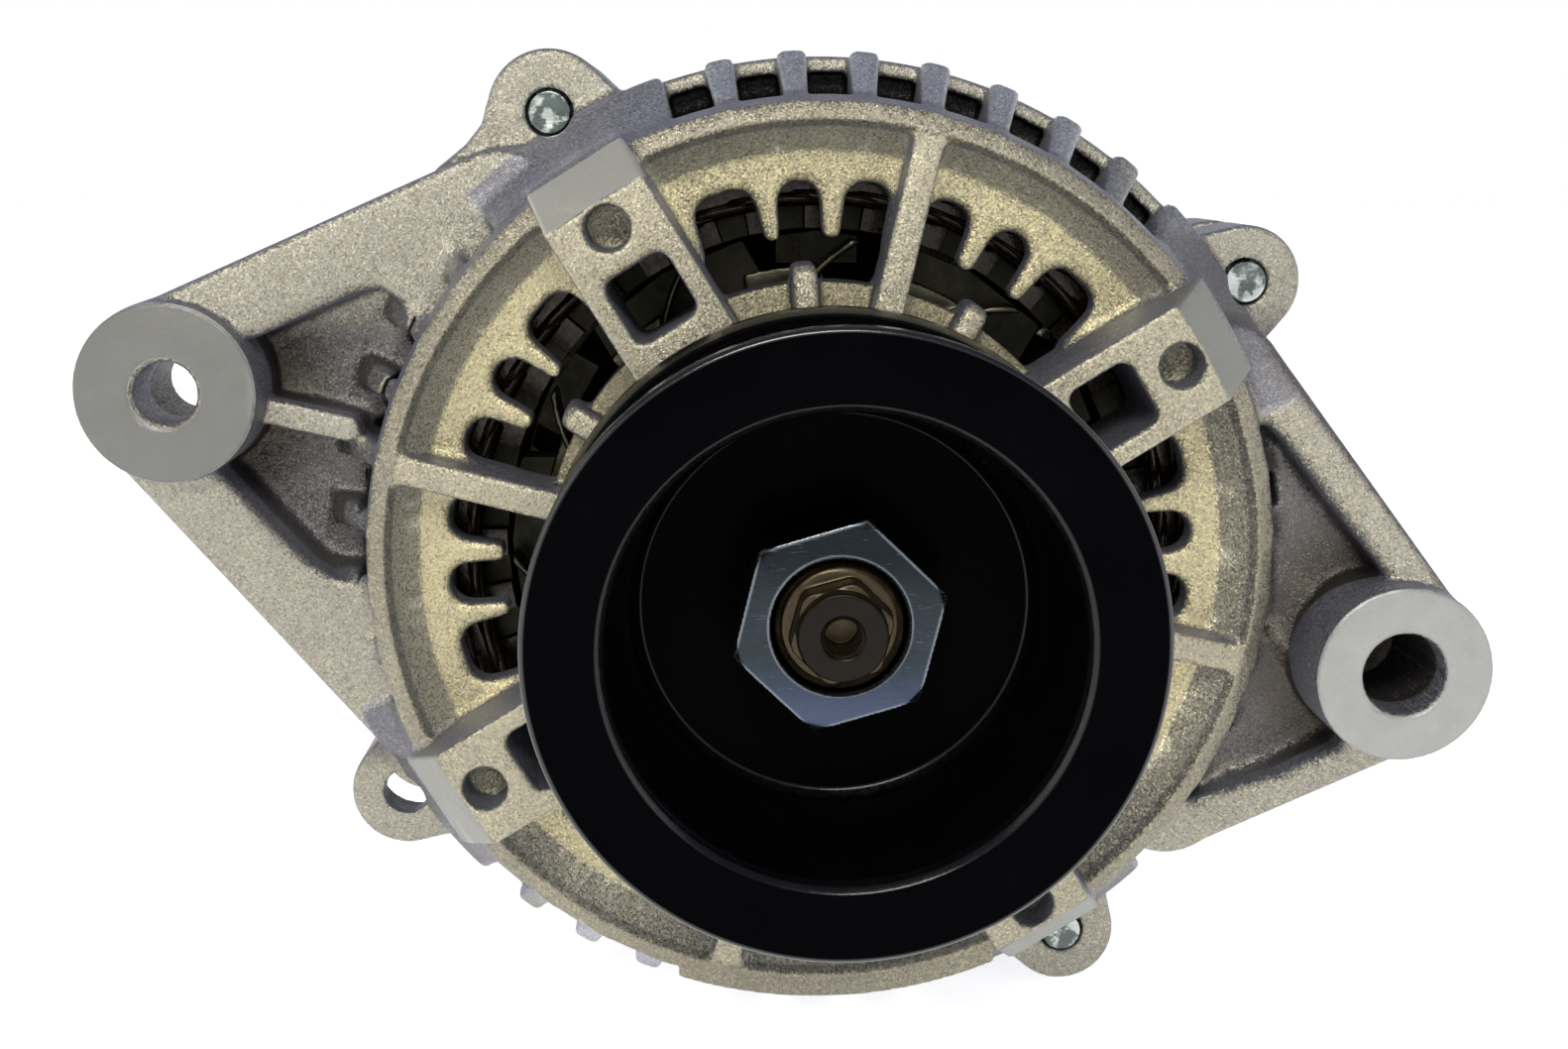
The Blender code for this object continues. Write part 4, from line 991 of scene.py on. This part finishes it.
class Look:
    """Node material builder. Lengths inside it are millimetres in the world's directions."""

    def __init__(self, name):
        self.surface = bpy.data.materials.new(name)
        self.surface.use_nodes = True
        self.tree = self.surface.node_tree
        self.shader = self.tree.nodes["Principled BSDF"]
        place = self.tree.nodes.new("ShaderNodeTexCoord")
        self.place = self.vector('SCALE', place.outputs["Object"], scale=1000.0)
        geometry = self.tree.nodes.new("ShaderNodeNewGeometry")
        self.normal = geometry.outputs["Normal"]
        self.edges = geometry.outputs["Pointiness"]

    def feed(self, socket, value):
        if isinstance(value, bpy.types.NodeSocket):
            self.tree.links.new(value, socket)
        elif value is not None:
            socket.default_value = value

    def math(self, operation, a, b=None):
        node = self.tree.nodes.new("ShaderNodeMath")
        node.operation = operation
        for socket, value in zip(node.inputs, (a, b)):
            self.feed(socket, value)
        return node.outputs[0]

    def times(self, first, *others):
        """Product of the values."""
        for value in others:
            first = self.math('MULTIPLY', first, value)
        return first

    def most(self, first, *others):
        """Greatest of the values."""
        for value in others:
            first = self.math('MAXIMUM', first, value)
        return first

    def size(self, value):
        return self.math('ABSOLUTE', value)

    def wave(self, value, pitch):
        """Ripples along a length, pitch radians to the millimetre."""
        return self.math('SINE', self.times(value, pitch))

    def vector(self, operation, a, b=None, scale=None):
        node = self.tree.nodes.new("ShaderNodeVectorMath")
        node.operation = operation
        self.feed(node.inputs[0], a)
        self.feed(node.inputs[1], b)
        if scale is not None:
            self.feed(node.inputs["Scale"], scale)
        return node.outputs["Value"] if operation in ('DISTANCE', 'DOT_PRODUCT') else node.outputs[0]

    def noise(self, scale, detail=3.0, roughness=0.55, stretch=None):
        node = self.tree.nodes.new("ShaderNodeTexNoise")
        place = self.place if stretch is None else self.vector('MULTIPLY', self.place, stretch)
        self.feed(node.inputs["Vector"], place)
        node.inputs["Scale"].default_value = scale
        node.inputs["Detail"].default_value = detail
        node.inputs["Roughness"].default_value = roughness
        return node.outputs[0]

    def cells(self, scale):
        """A random colour for each small cell."""
        node = self.tree.nodes.new("ShaderNodeTexVoronoi")
        self.feed(node.inputs["Vector"], self.place)
        node.inputs["Scale"].default_value = scale
        return node.outputs["Color"]

    def span(self, value, low, high, to_low=0.0, to_high=1.0):
        """Smooth step between two numbers as the value goes from low to high."""
        node = self.tree.nodes.new("ShaderNodeMapRange")
        node.interpolation_type = 'SMOOTHSTEP'
        for socket, number in zip(node.inputs, (value, low, high, to_low, to_high)):
            self.feed(socket, number)
        return node.outputs[0]

    def fade(self, value, low, high, start=1.0):
        """Smooth step from start down to nothing."""
        return self.span(value, low, high, start, 0.0)

    def band(self, value, rise_low, rise_high, fall_low, fall_high):
        """One between two levels and nothing outside them."""
        return self.times(self.span(value, rise_low, rise_high), self.fade(value, fall_low, fall_high))

    def mix(self, factor, first, second, blend='MIX'):
        node = self.tree.nodes.new("ShaderNodeMix")
        node.data_type = 'RGBA'
        node.blend_type = blend
        self.feed(node.inputs[0], factor)
        for socket, color in ((node.inputs[6], first), (node.inputs[7], second)):
            self.feed(socket, (*color, 1.0) if isinstance(color, tuple) else color)
        return node.outputs[2]

    def blend(self, factor, first, second):
        """Number mixed from first to second by factor."""
        rest = self.math('SUBTRACT', 1.0, factor)
        return self.math('ADD', self.times(first, rest), self.times(second, factor))

    def split(self, vector):
        node = self.tree.nodes.new("ShaderNodeSeparateXYZ")
        self.feed(node.inputs[0], vector)
        return node.outputs

    def bump(self, height, depth, normal=None):
        """Bump of that depth in millimetres."""
        node = self.tree.nodes.new("ShaderNodeBump")
        node.inputs["Distance"].default_value = depth * MM
        self.feed(node.inputs["Height"], height)
        self.feed(node.inputs["Normal"], normal)
        return node.outputs[0]

    def axis_distance(self, center):
        """Distance from a line parallel to the shaft through a local point."""
        x, _, z = self.split(self.place)
        node = self.tree.nodes.new("ShaderNodeCombineXYZ")
        self.feed(node.inputs[0], x)
        self.feed(node.inputs[2], z)
        return self.vector('DISTANCE', node.outputs[0], (center[0], 0.0, center[1]))

    def depth(self):
        """Distance along the shaft towards the pulley."""
        return self.times(self.split(self.place)[1], -1.0)

    def finish(self, color, rough, normal, **values):
        """Sets the shader. Rough is a socket, or a pattern and the roughness at its two ends;

        the other names are the shader's own sockets.
        """
        if isinstance(rough, tuple):
            pattern, smoothest, roughest = rough
            rough = self.span(pattern, 0.3, 0.7, smoothest, roughest)
        for name, value in (("Base Color", color), ("Roughness", rough), ("Normal", normal), *values.items()):
            self.feed(self.shader.inputs[name.replace("_", " ")], value)


def cast_aluminium(look):
    """Cast surface, with painted light: warm tones where it faces the pulley, cool violet-grey walls as
    painted shade and sky reflection, painted shade in creases, slot floors and ear pockets, and turned faces.
    """
    depth = look.depth()
    radius = look.axis_distance(AXIS)
    patches = look.noise(0.05, 3.0, 0.6)
    grain = look.noise(3.4, 2.0, 0.6)
    glitter = look.cells(3.9)
    front = look.span(look.size(look.split(look.normal)[1]), 0.25, 0.85)
    shoulders = arm_shoulders(look)
    smooth = look.times(outer_band(look, radius, shoulders), look.span(depth, 75.2, 75.8))
    wall = look.mix(smooth, look.mix(patches, (0.175, 0.182, 0.222), (0.28, 0.29, 0.34)),
                    smooth_blocks(look, patches, front, shoulders))
    front = look.times(front, look.math('SUBTRACT', 1.0, smooth))
    # Painted light by facing: warm lit tones where the surface faces the pulley, cool shaded tones on the
    # walls.
    color = look.mix(front, wall, front_tones(look, patches, radius, depth))
    # Painted shade on the slot floors behind the lip and on the hub's flange.
    color = look.mix(painted_floor_shade(look, radius, depth), color, (0.020, 0.019, 0.020))
    # Painted shade in the ears' pockets, darkest next to the bosses.
    to_ear = look.math('MINIMUM', look.axis_distance(ADJUST_EAR), look.axis_distance(PIVOT_EAR))
    sunken = look.mix(look.span(to_ear, 13.0, 24.0), (0.040, 0.034, 0.030), (0.112, 0.105, 0.112))
    color = look.mix(pocket_shade(look, radius, depth), color, sunken)
    bright, dark, _ = look.split(glitter)
    color = look.mix(look.span(bright, 0.55, 1.0), color, look.mix(0.5, color, (1.0, 0.95, 0.78), 'OVERLAY'))
    color = look.mix(look.span(dark, 0.6, 1.0, 0.0, 0.5), color, (0.08, 0.072, 0.06))
    machined = machined_faces(look, radius, depth)
    color = look.mix(machined, color, machined_tones(look, radius))
    color = look.mix(look.span(look.edges, 0.54, 0.63, 0.0, 0.4), color, (0.60, 0.575, 0.50))
    # Painted shade in concave creases, read from the pointiness.
    color = look.mix(look.fade(look.edges, 0.36, 0.465, 0.45), color, (0.10, 0.09, 0.09))
    rough = look.blend(machined, look.span(grain, 0.3, 0.7, 0.36, 0.56), 0.46)
    tilt = look.vector('SUBTRACT', glitter, (0.5, 0.5, 0.5))
    tilt = look.vector('SCALE', tilt, scale=look.blend(look.most(machined, smooth), 0.42, 0.14))
    normal = look.vector('NORMALIZE', look.vector('ADD', look.normal, tilt))
    height = look.math('ADD', grain, look.times(look.noise(0.6, 2.0, 0.5), 0.7))
    height = look.blend(machined, height, look.times(look.wave(look.axis_distance(ADJUST_EAR), 24.0), 0.05))
    look.finish(color, rough, look.bump(height, 0.10, normal), Metallic=0.80)


def smooth_blocks(look, patches, front, shoulders):
    """Colour of the fins and of the smooth blocks outside the lip, cool as a painted sky reflection; the
    blocks at the arms' shoulders get painted shade.
    """
    color = look.mix(patches, (0.27, 0.285, 0.325), (0.385, 0.40, 0.445))
    # Painted shade on the shoulder blocks: on their parts facing the pulley, and on all of them below 44 to
    # 50 mm up.
    top = look.fade(look.split(look.place)[2], 44.0, 50.0, 0.85)
    shade = look.times(shoulders, look.most(look.times(front, 0.75), top))
    return look.mix(shade, color, (0.118, 0.115, 0.126))


def front_tones(look, patches, radius, depth):
    """Colours of the surfaces that face the pulley, with a painted highlight on the slope inside the lip."""
    plate = look.mix(patches, (0.355, 0.32, 0.205), (0.55, 0.50, 0.32))
    raised = look.mix(patches, (0.255, 0.238, 0.178), (0.42, 0.392, 0.30))
    rim = look.mix(patches, (0.19, 0.175, 0.14), (0.30, 0.28, 0.215))
    dull = look.mix(patches, (0.22, 0.21, 0.175), (0.35, 0.335, 0.28))
    face = look.mix(look.span(depth, 88.5, 90.5), plate, raised)
    face = look.mix(look.span(radius, 60.8, 61.8), face, rim)
    face = look.mix(look.span(radius, 65.0, 66.0), face, dull)
    # Painted light brightens the slope between the plate and the lip.
    slope = look.times(look.band(radius, 57.2, 57.6, 61.2, 61.8), look.fade(depth, 90.4, 91.0, 0.75))
    return look.mix(slope, face, (0.85, 0.80, 0.62))


def machined_tones(look, radius):
    """Colours of the turned faces of the ears, darker on the adjusting ear's face, and, nearer the shaft, of
    the arms' milled ends: painted light on the upper-left one, painted shade on the other three.
    """
    side, _, level = look.split(look.place)
    color = look.mix(look.noise(0.25, 4.0, 0.7), (0.26, 0.26, 0.245), (0.36, 0.36, 0.345))
    color = look.mix(look.fade(side, -80.0, -76.0, 0.66), color, (0.09, 0.09, 0.08))
    # Painted light and shade: only the upper-left arm's milled end is light.
    away = look.most(look.span(side, -25.0, 25.0), look.fade(level, -10.0, 10.0))
    ends = look.mix(away, (0.54, 0.53, 0.44), (0.25, 0.25, 0.225))
    return look.mix(look.fade(radius, 67.0, 68.0), color, ends)


def arm_shoulders(look):
    """One round the outer ends of the four arms."""
    return look.most(*[look.fade(look.axis_distance(polar(68.5, angle)), 14.5, 16.5) for angle in ARM_ANGLES])


def outer_band(look, radius, shoulders):
    """One on the fins and on the smooth blocks of the wall outside the lip, but not on the ears."""
    x, _, z = look.split(look.place)
    fins = look.times(look.span(look.size(z), 37.0, 42.0), look.fade(look.size(x), 38.0, 43.0))
    return look.times(look.most(fins, shoulders), look.band(radius, 65.2, 65.8, 71.0, 71.6))


def painted_floor_shade(look, radius, depth):
    """Mask of painted shade: one on the floors of the slots behind the lip, and half on the flange of the
    hub.
    """
    pit = look.times(look.band(depth, 71.6, 71.9, 74.2, 74.7), look.fade(radius, 68.2, 68.6))
    return look.most(pit, look.times(look.fade(radius, 39.4, 39.8, 0.6), look.fade(depth, 88.4, 88.9)))


def pocket_shade(look, radius, depth):
    """How much painted shade falls on the sunken floors and walls of the two ears, below a level that slopes
    with each ear.
    """
    side, _, height = look.split(look.place)
    right = look.math('SUBTRACT', look.times(side, 0.466), 57.0 * 0.466 - 83.4)
    left = look.math('SUBTRACT', 74.6, look.times(side, 0.085))
    level = look.blend(look.span(side, -1.0, 1.0), left, right)
    sunken = look.fade(look.math('SUBTRACT', depth, level), -0.6, 0.6, 0.90)
    return look.times(sunken, look.span(look.size(side), 55.0, 58.0), look.span(radius, 65.0, 65.6),
                      look.span(depth, 70.0, 71.0), look.fade(look.size(height), 30.0, 36.0))


def machined_faces(look, radius, depth):
    """One on the turned faces of the ears and the milled ends of the arms."""
    ends = look.times(look.band(radius, 58.9, 59.3, 66.4, 66.8), look.span(depth, 92.3, 92.7))
    parts = [ends]
    for center, face in ((ADJUST_EAR, 90.7), (PIVOT_EAR, 100.7)):
        near = look.fade(look.axis_distance(center), 12.2, 12.6)
        parts.append(look.times(near, look.span(depth, face, face + 0.15)))
    return look.most(*parts)


def black_paint(look):
    radius = look.axis_distance(AXIS)
    fine = look.noise(1.6, 2.0, 0.5)
    color = look.mix(look.noise(0.09, 3.0, 0.6), (0.0005, 0.0006, 0.0009), (0.0014, 0.0014, 0.0018))
    dust = look.span(look.noise(5.0, 2.0, 0.7), 0.76, 0.84, 0.0, 0.25)
    color = look.mix(dust, color, (0.06, 0.065, 0.07))
    height = look.math('ADD', look.times(look.wave(radius, 9.0), 0.10), fine)
    lip = look.times(look.band(radius, 27.9, 28.2, 29.1, 29.4), look.span(look.depth(), 137.4, 138.2))
    shine = look.times(look.most(lip, look.band(radius, 24.7, 25.1, 26.4, 26.9)), 0.30)
    shine = look.most(shine, look.span(radius, 37.3, 37.6, 0.008, 0.6))
    look.finish(color, (fine, 0.17, 0.26), look.bump(height, 0.012), Specular_IOR_Level=shine)


def zinc_plating(look):
    """Spotted bolts, and the dark pulley nut with painted light: lighter and bluer low down, darker high up,
    with painted highlights on its front rims.
    """
    level = look.split(look.place)[2]
    radius = look.axis_distance(AXIS)
    scratch = look.noise(1.1, 3.0, 0.6, (0.35, 1.0, 4.0))
    spots = look.span(look.noise(0.42, 3.0, 0.6), 0.44, 0.58)
    bolts = look.mix(spots, (0.10, 0.12, 0.11), (0.46, 0.50, 0.47))
    nut = look.mix(look.noise(0.16, 4.0, 0.65), (0.018, 0.024, 0.028), (0.038, 0.047, 0.055))
    # Painted light on the nut: lighter and bluer on its lower part, darker on its upper part.
    nut = look.mix(look.fade(level, -12.5, -3.0, 0.85), nut, (0.060, 0.076, 0.122))
    nut = look.mix(look.span(level, 0.0, 10.0, 0.0, 0.75), nut, (0.008, 0.010, 0.012))
    # Painted highlights round the outer edge and the bore of the nut's front face.
    flats = []
    for angle in (46.0, 106.0, 166.0):
        x, z = polar(1.0, angle)
        flats.append(look.size(look.vector('DOT_PRODUCT', look.place, (x, 0.0, z))))
    rim = look.most(look.span(look.most(*flats), 11.45, 11.8, 0.0, 0.5), look.fade(radius, 8.9, 9.15, 0.35))
    nut = look.mix(look.times(rim, look.span(look.depth(), 125.0, 125.5)), nut, (0.30, 0.33, 0.37))
    color = look.mix(look.fade(radius, 15.0, 16.0), bolts, nut)
    color = look.mix(look.span(scratch, 0.60, 0.74, 0.0, 0.25), color, (0.22, 0.25, 0.29))
    look.finish(color, (scratch, 0.20, 0.38), look.bump(scratch, 0.02), Metallic=1.0)


def yellow_plating(look):
    cloud = look.noise(0.35, 4.0, 0.7)
    turned_marks = look.noise(0.9, 3.0, 0.6, (1.0, 5.0, 1.0))
    color = look.mix(cloud, (0.018, 0.014, 0.009), (0.085, 0.066, 0.036))
    tip = look.mix(cloud, (0.006, 0.005, 0.004), (0.018, 0.014, 0.011))
    color = look.mix(look.span(look.depth(), 130.9, 131.2), color, tip)
    look.finish(color, (cloud, 0.26, 0.44), look.bump(turned_marks, 0.03), Metallic=0.9)


def steel(look):
    """Turned steel; the fans, told by their radius, are darker, a painted shade inside the housing."""
    cloud = look.noise(0.2, 4.0, 0.6)
    marks = look.noise(1.4, 3.0, 0.6, (0.3, 3.0, 0.3))
    color = look.mix(cloud, (0.30, 0.295, 0.285), (0.52, 0.51, 0.49))
    fans = look.mix(cloud, (0.035, 0.033, 0.022), (0.11, 0.105, 0.07))
    color = look.mix(look.band(look.axis_distance(AXIS), 24.5, 25.5, 47.0, 48.0), color, fans)
    look.finish(color, (marks, 0.24, 0.42), look.bump(marks, 0.02), Metallic=1.0)


def lamination_steel(look):
    """Stacked sheet with rust; the claw poles, inside 58 mm, are darker, a painted shade inside the housing.
    """
    stack = look.wave(look.depth(), 12.5)
    cloud = look.noise(0.15, 4.0, 0.65)
    rust = look.noise(0.5, 5.0, 0.7)
    color = look.mix(cloud, (0.055, 0.053, 0.052), (0.15, 0.145, 0.14))
    poles = look.mix(cloud, (0.010, 0.0095, 0.006), (0.034, 0.032, 0.020))
    color = look.mix(look.fade(look.axis_distance(AXIS), 58.0, 60.0), color, poles)
    color = look.mix(look.fade(stack, -1.0, -0.3, 0.5), color, (0.02, 0.02, 0.02))
    color = look.mix(look.span(rust, 0.60, 0.75, 0.0, 0.4), color, (0.14, 0.075, 0.04))
    look.finish(color, (rust, 0.38, 0.58), look.bump(stack, 0.05), Metallic=0.85)


def enamelled_copper(look):
    drip = look.noise(0.9, 3.0, 0.6)
    # Very dark: the enamel's own brown, darkened further as painted shade inside the housing.
    color = look.mix(look.noise(0.12, 4.0, 0.65), (0.007, 0.005, 0.003), (0.030, 0.019, 0.009))
    color = look.mix(look.span(drip, 0.62, 0.74, 0.0, 0.5), color, (0.21, 0.14, 0.05))
    look.finish(color, (drip, 0.18, 0.36), look.bump(drip, 0.06), Metallic=0.55, Coat_Weight=0.1)


def slip_ring_copper(look):
    track = look.noise(2.0, 3.0, 0.6, (0.05, 3.0, 0.05))
    color = look.mix(track, (0.55, 0.27, 0.14), (0.86, 0.50, 0.30))
    look.finish(color, (track, 0.12, 0.30), look.bump(track, 0.02), Metallic=1.0)


def black_resin(look):
    fine = look.noise(3.0, 3.0, 0.6)
    color = look.mix(look.noise(0.08, 3.0, 0.6), (0.012, 0.012, 0.013), (0.032, 0.032, 0.034))
    color = look.mix(look.span(look.edges, 0.52, 0.62, 0.0, 0.4), color, (0.10, 0.10, 0.10))
    look.finish(color, (fine, 0.42, 0.60), look.bump(fine, 0.03))


def plated_sheet(look):
    grain = look.noise(0.8, 4.0, 0.6, (1.0, 1.0, 0.15))
    color = look.mix(look.split(look.cells(0.35))[0], (0.40, 0.41, 0.42), (0.47, 0.48, 0.485))
    color = look.mix(look.span(look.noise(0.06, 4.0, 0.6), 0.5, 0.75, 0.0, 0.35), color, (0.30, 0.30, 0.30))
    color = look.mix(look.span(look.edges, 0.52, 0.60, 0.0, 0.5), color, (0.80, 0.81, 0.82))
    look.finish(color, (grain, 0.28, 0.44), look.bump(grain, 0.03), Metallic=1.0)


def bare_aluminium(look):
    brushed = look.noise(1.4, 3.0, 0.6, (0.2, 1.0, 4.0))
    color = look.mix(look.noise(0.1, 3.0, 0.6), (0.52, 0.53, 0.54), (0.74, 0.74, 0.74))
    look.finish(color, (brushed, 0.26, 0.46), look.bump(brushed, 0.03), Metallic=1.0)


def brush_carbon(look):
    fine = look.noise(4.0, 4.0, 0.7)
    color = look.mix(fine, (0.010, 0.010, 0.011), (0.055, 0.050, 0.048))
    look.finish(color, (fine, 0.45, 0.7), look.bump(fine, 0.04), Metallic=0.15)


def floor_paper(look):
    fine = look.noise(0.8, 3.0, 0.6)
    color = look.mix(fine, (0.93, 0.93, 0.93), (0.96, 0.96, 0.96))
    look.finish(color, (fine, 0.75, 0.9), None, Specular_IOR_Level=0.1, Emission_Color=(1.0, 1.0, 1.0, 1.0),
                Emission_Strength=0.72)


def dressed(work):
    """The material that a function fills in, under the function's name."""
    look = Look(work.__name__)
    work(look)
    return look.surface


LOOKS = {work.__name__: dressed(work) for work in (
    cast_aluminium, black_paint, zinc_plating, yellow_plating, steel, lamination_steel, enamelled_copper,
    slip_ring_copper, black_resin, plated_sheet, bare_aluminium, brush_carbon)}


# ---------------------------------------------------------------- assembly

NODE_SLOTS = {row["node"]: row["material_slot"] for row in frame["record"]["subparts"]}
replaced = set()


def put(item, node, body):
    """Dresses a piece and lets it stand for one CAD node."""
    item.data.materials.clear()
    item.data.materials.append(LOOKS[NODE_SLOTS[node]])
    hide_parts(node)
    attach(item, body)
    replaced.add(node)
    return item


def ring(name, outer, inner, low, high, center=AXIS, ease=0.35):
    profile = ((outer, high), (outer, low), (inner, low), (inner, high))
    return lathe(name, rounded(profile, ease), 96, center)


for build, node in ((drive_end_casting, "drive_end_frame"), (rear_end_casting, "rear_end_frame"),
                    (cover_shell, "rear_cover"), (slotted_core, "stator_core"),
                    (winding_wires, "stator_winding")):
    put(build(), node, "housing")
for side, angle in (("right", 31.5), ("top", 121.5), ("bottom", 301.5)):
    put(through_bolt("bolt_" + side, angle), "through_bolt_" + side, "housing")
for number, angle in enumerate(POST_ANGLES, 1):
    center = polar(POST_CIRCLE_R, angle)
    nut = hex_nut("cover_nut_%d_shape" % number, 8.0, 1.05, 4.0, center, 30.0, 2.3, most=8000)
    put(nut, "cover_nut_%d" % number, "housing")
put(pulley_shell(), "pulley", "rotor")
nut = hex_nut("nut_shape", 24.0, 114.2, 125.9, AXIS, 16.0, 8.75, False, most=70000, recess=0.2, face=12.75)
put(nut, "pulley_nut", "rotor")
put(shaft(), "rotor_shaft", "rotor")
put(ring("spacer", 12.4, 8.8, 95.0, 104.5), "spacer_collar", "rotor")
put(fan_wheel("front_fan_wheel", (72.4, 73.6), (73.4, 79.4), -16.0), "front_fan", "rotor")
put(fan_wheel("rear_fan_wheel", (44.6, 45.8), (38.9, 44.8), 16.0), "rear_fan", "rotor")
for name, outer, inner, low, high, ease, node, body in (
        ("slip_ring_a", 7.6, 6.3, 15.5, 21.0, 0.2, "slip_ring_inner", "rotor"),
        ("slip_ring_b", 7.6, 6.3, 8.0, 13.5, 0.2, "slip_ring_outer", "rotor"),
        ("front_race_outer", 23.45, 19.5, 80.6, 94.6, 0.7, "front_bearing_outer_race", "housing"),
        ("front_race_inner", 12.5, 8.8, 80.6, 94.6, 0.5, "front_bearing_inner_race", "rotor"),
        ("rear_race_outer", 15.95, 13.2, 26.5, 36.5, 0.5, "rear_bearing_outer_race", "housing"),
        ("rear_race_inner", 8.4, 6.3, 26.5, 36.5, 0.4, "rear_bearing_inner_race", "rotor")):
    put(ring(name, outer, inner, low, high, ease=ease), node, body)
put(ball_set("front_ball_set", 16.0, 2.9, 87.6, 8), "front_bearing_balls", "front_balls")
put(ball_set("rear_ball_set", 10.8, 2.0, 31.5, 7), "rear_bearing_balls", "rear_balls")
put(ring("sliding_sleeve", 7.15, 5.2, 25.0, 47.2, PIVOT_EAR, 0.5), "pivot_bush", "sliding_bush")
put(terminal_stud(), "battery_stud", "housing")
insulator = ((7.2, 6.9), (7.2, 3.8), (9.2, 3.8), (9.2, -1.6), (3.4, -1.6), (3.4, 6.9))
put(lathe("terminal_insulator", rounded(insulator, 0.6), 96, STUD_CENTER), "stud_insulator", "housing")
nut = hex_nut("terminal_nut", 10.0, -7.0, -1.9, STUD_CENTER, 0.0, 3.15, most=14000, recess=0.3)
put(nut, "stud_nut", "housing")
for number, (low, high) in enumerate(((10.3, 19.4), (12.4, 21.3)) * 3):
    can = ((0.0, high), (4.6, high), (5.4, high - 0.9), (5.4, low), (0.0, low))
    center = polar(40.5, 218.0 + 20.6 * number)
    item = lathe("diode_can_%d" % (number + 1), rounded(can, 0.25), 64, center)
    put(item, "diode_%d" % (number + 1), "housing")
for label, middle in (("outer", 10.75), ("inner", 18.25)):
    spring = coil_spring("spring_" + label, middle, 20.3, 30.0)
    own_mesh(put(spring, "brush_spring_" + label, "housing"))


def dress_frame_nodes():
    """Materials and eased edges for the CAD nodes that stay visible."""
    for name, item in frame["nodes"].items():
        if name in replaced:
            continue
        for place in item.material_slots:
            place.material = LOOKS[NODE_SLOTS[name]]
        bevel = item.modifiers.new("eased_edges", 'BEVEL')
        bevel.width = 0.25 * MM
        bevel.segments = 2
        bevel.limit_method = 'ANGLE'
        bevel.angle_limit = math.radians(40.0)


dress_frame_nodes()


# ---------------------------------------------------------------- studio

def rows_of(columns, place):
    """Matrix whose columns are the given directions and place."""
    rows = [[column[i] for column in columns] + [place[i]] for i in range(3)]
    return Matrix(rows + [[0.0, 0.0, 0.0, 1.0]])


def make_camera():
    """The photograph's viewpoint: a little above the shaft and slightly to its left."""
    forward = Vector((0.035775, 0.979681, -0.197343)).normalized()
    right = Vector((0.999327, -0.036670, -0.000880)).normalized()
    up = right.cross(forward)
    lens = bpy.data.cameras.new("camera")
    lens.lens = 42.42
    lens.sensor_width = 36.0
    lens.clip_start = 0.01
    lens.dof.use_dof = False
    item = link("camera", lens)
    item.matrix_world = rows_of((right, up, -forward), (-0.01492, -0.34507, 0.05706))
    bpy.context.scene.camera = item


def soft_light(name, place, size, power, color):
    """A soft box at place, facing the middle of the alternator."""
    lamp = bpy.data.lights.new(name, 'AREA')
    lamp.shape = 'RECTANGLE'
    lamp.size, lamp.size_y = size
    lamp.energy = power
    lamp.color = color
    item = link(name, lamp)
    item.location = place
    aim = Vector((0.0, -0.08, 0.0)) - Vector(place)
    item.rotation_euler = aim.to_track_quat('-Z', 'Y').to_euler()


def make_floor(level):
    bm = bmesh.new()
    half = 4.0
    corners = ((-half, -half), (half, -half), (half, half), (-half, half))
    bm.faces.new([bm.verts.new((x, y, level)) for x, y in corners])
    floor = finish_piece(bm, "floor")
    floor.data.materials.append(dressed(floor_paper))


def make_sky():
    """White surroundings near the horizon, dim and bluish overhead."""
    sky = bpy.data.worlds.new("studio")
    sky.use_nodes = True
    bpy.context.scene.world = sky
    tree = sky.node_tree
    place = tree.nodes.new("ShaderNodeTexCoord")
    split = tree.nodes.new("ShaderNodeSeparateXYZ")
    fade = tree.nodes.new("ShaderNodeMapRange")
    fade.interpolation_type = 'SMOOTHSTEP'
    for socket, value in zip(fade.inputs[1:5], (0.27, 0.62, 0.0, 1.0)):
        socket.default_value = value
    shade = tree.nodes.new("ShaderNodeMix")
    shade.data_type = 'RGBA'
    shade.inputs[6].default_value = (1.0, 1.0, 1.0, 1.0)
    shade.inputs[7].default_value = (0.27, 0.28, 0.37, 1.0)
    for output, socket in ((place.outputs["Generated"], split.inputs[0]), (split.outputs[2], fade.inputs[0]),
                           (fade.outputs[0], shade.inputs[0]),
                           (shade.outputs[2], tree.nodes["Background"].inputs["Color"])):
        tree.links.new(output, socket)


make_camera()
make_floor(min(row[2] for row in cad_box) - 0.0005)
make_sky()
soft_light("key", (-0.10, -0.75, 0.60), (0.4, 0.25), 5.6, (1.0, 0.97, 0.90))
soft_light("fill_left", (-0.9, -0.45, 0.25), (0.5, 0.8), 1.5, (1.0, 0.97, 0.90))
soft_light("fill_right", (0.9, -0.55, 0.15), (0.5, 0.8), 1.2, (0.95, 0.96, 1.0))
bpy.context.scene.view_settings.view_transform = 'Standard'
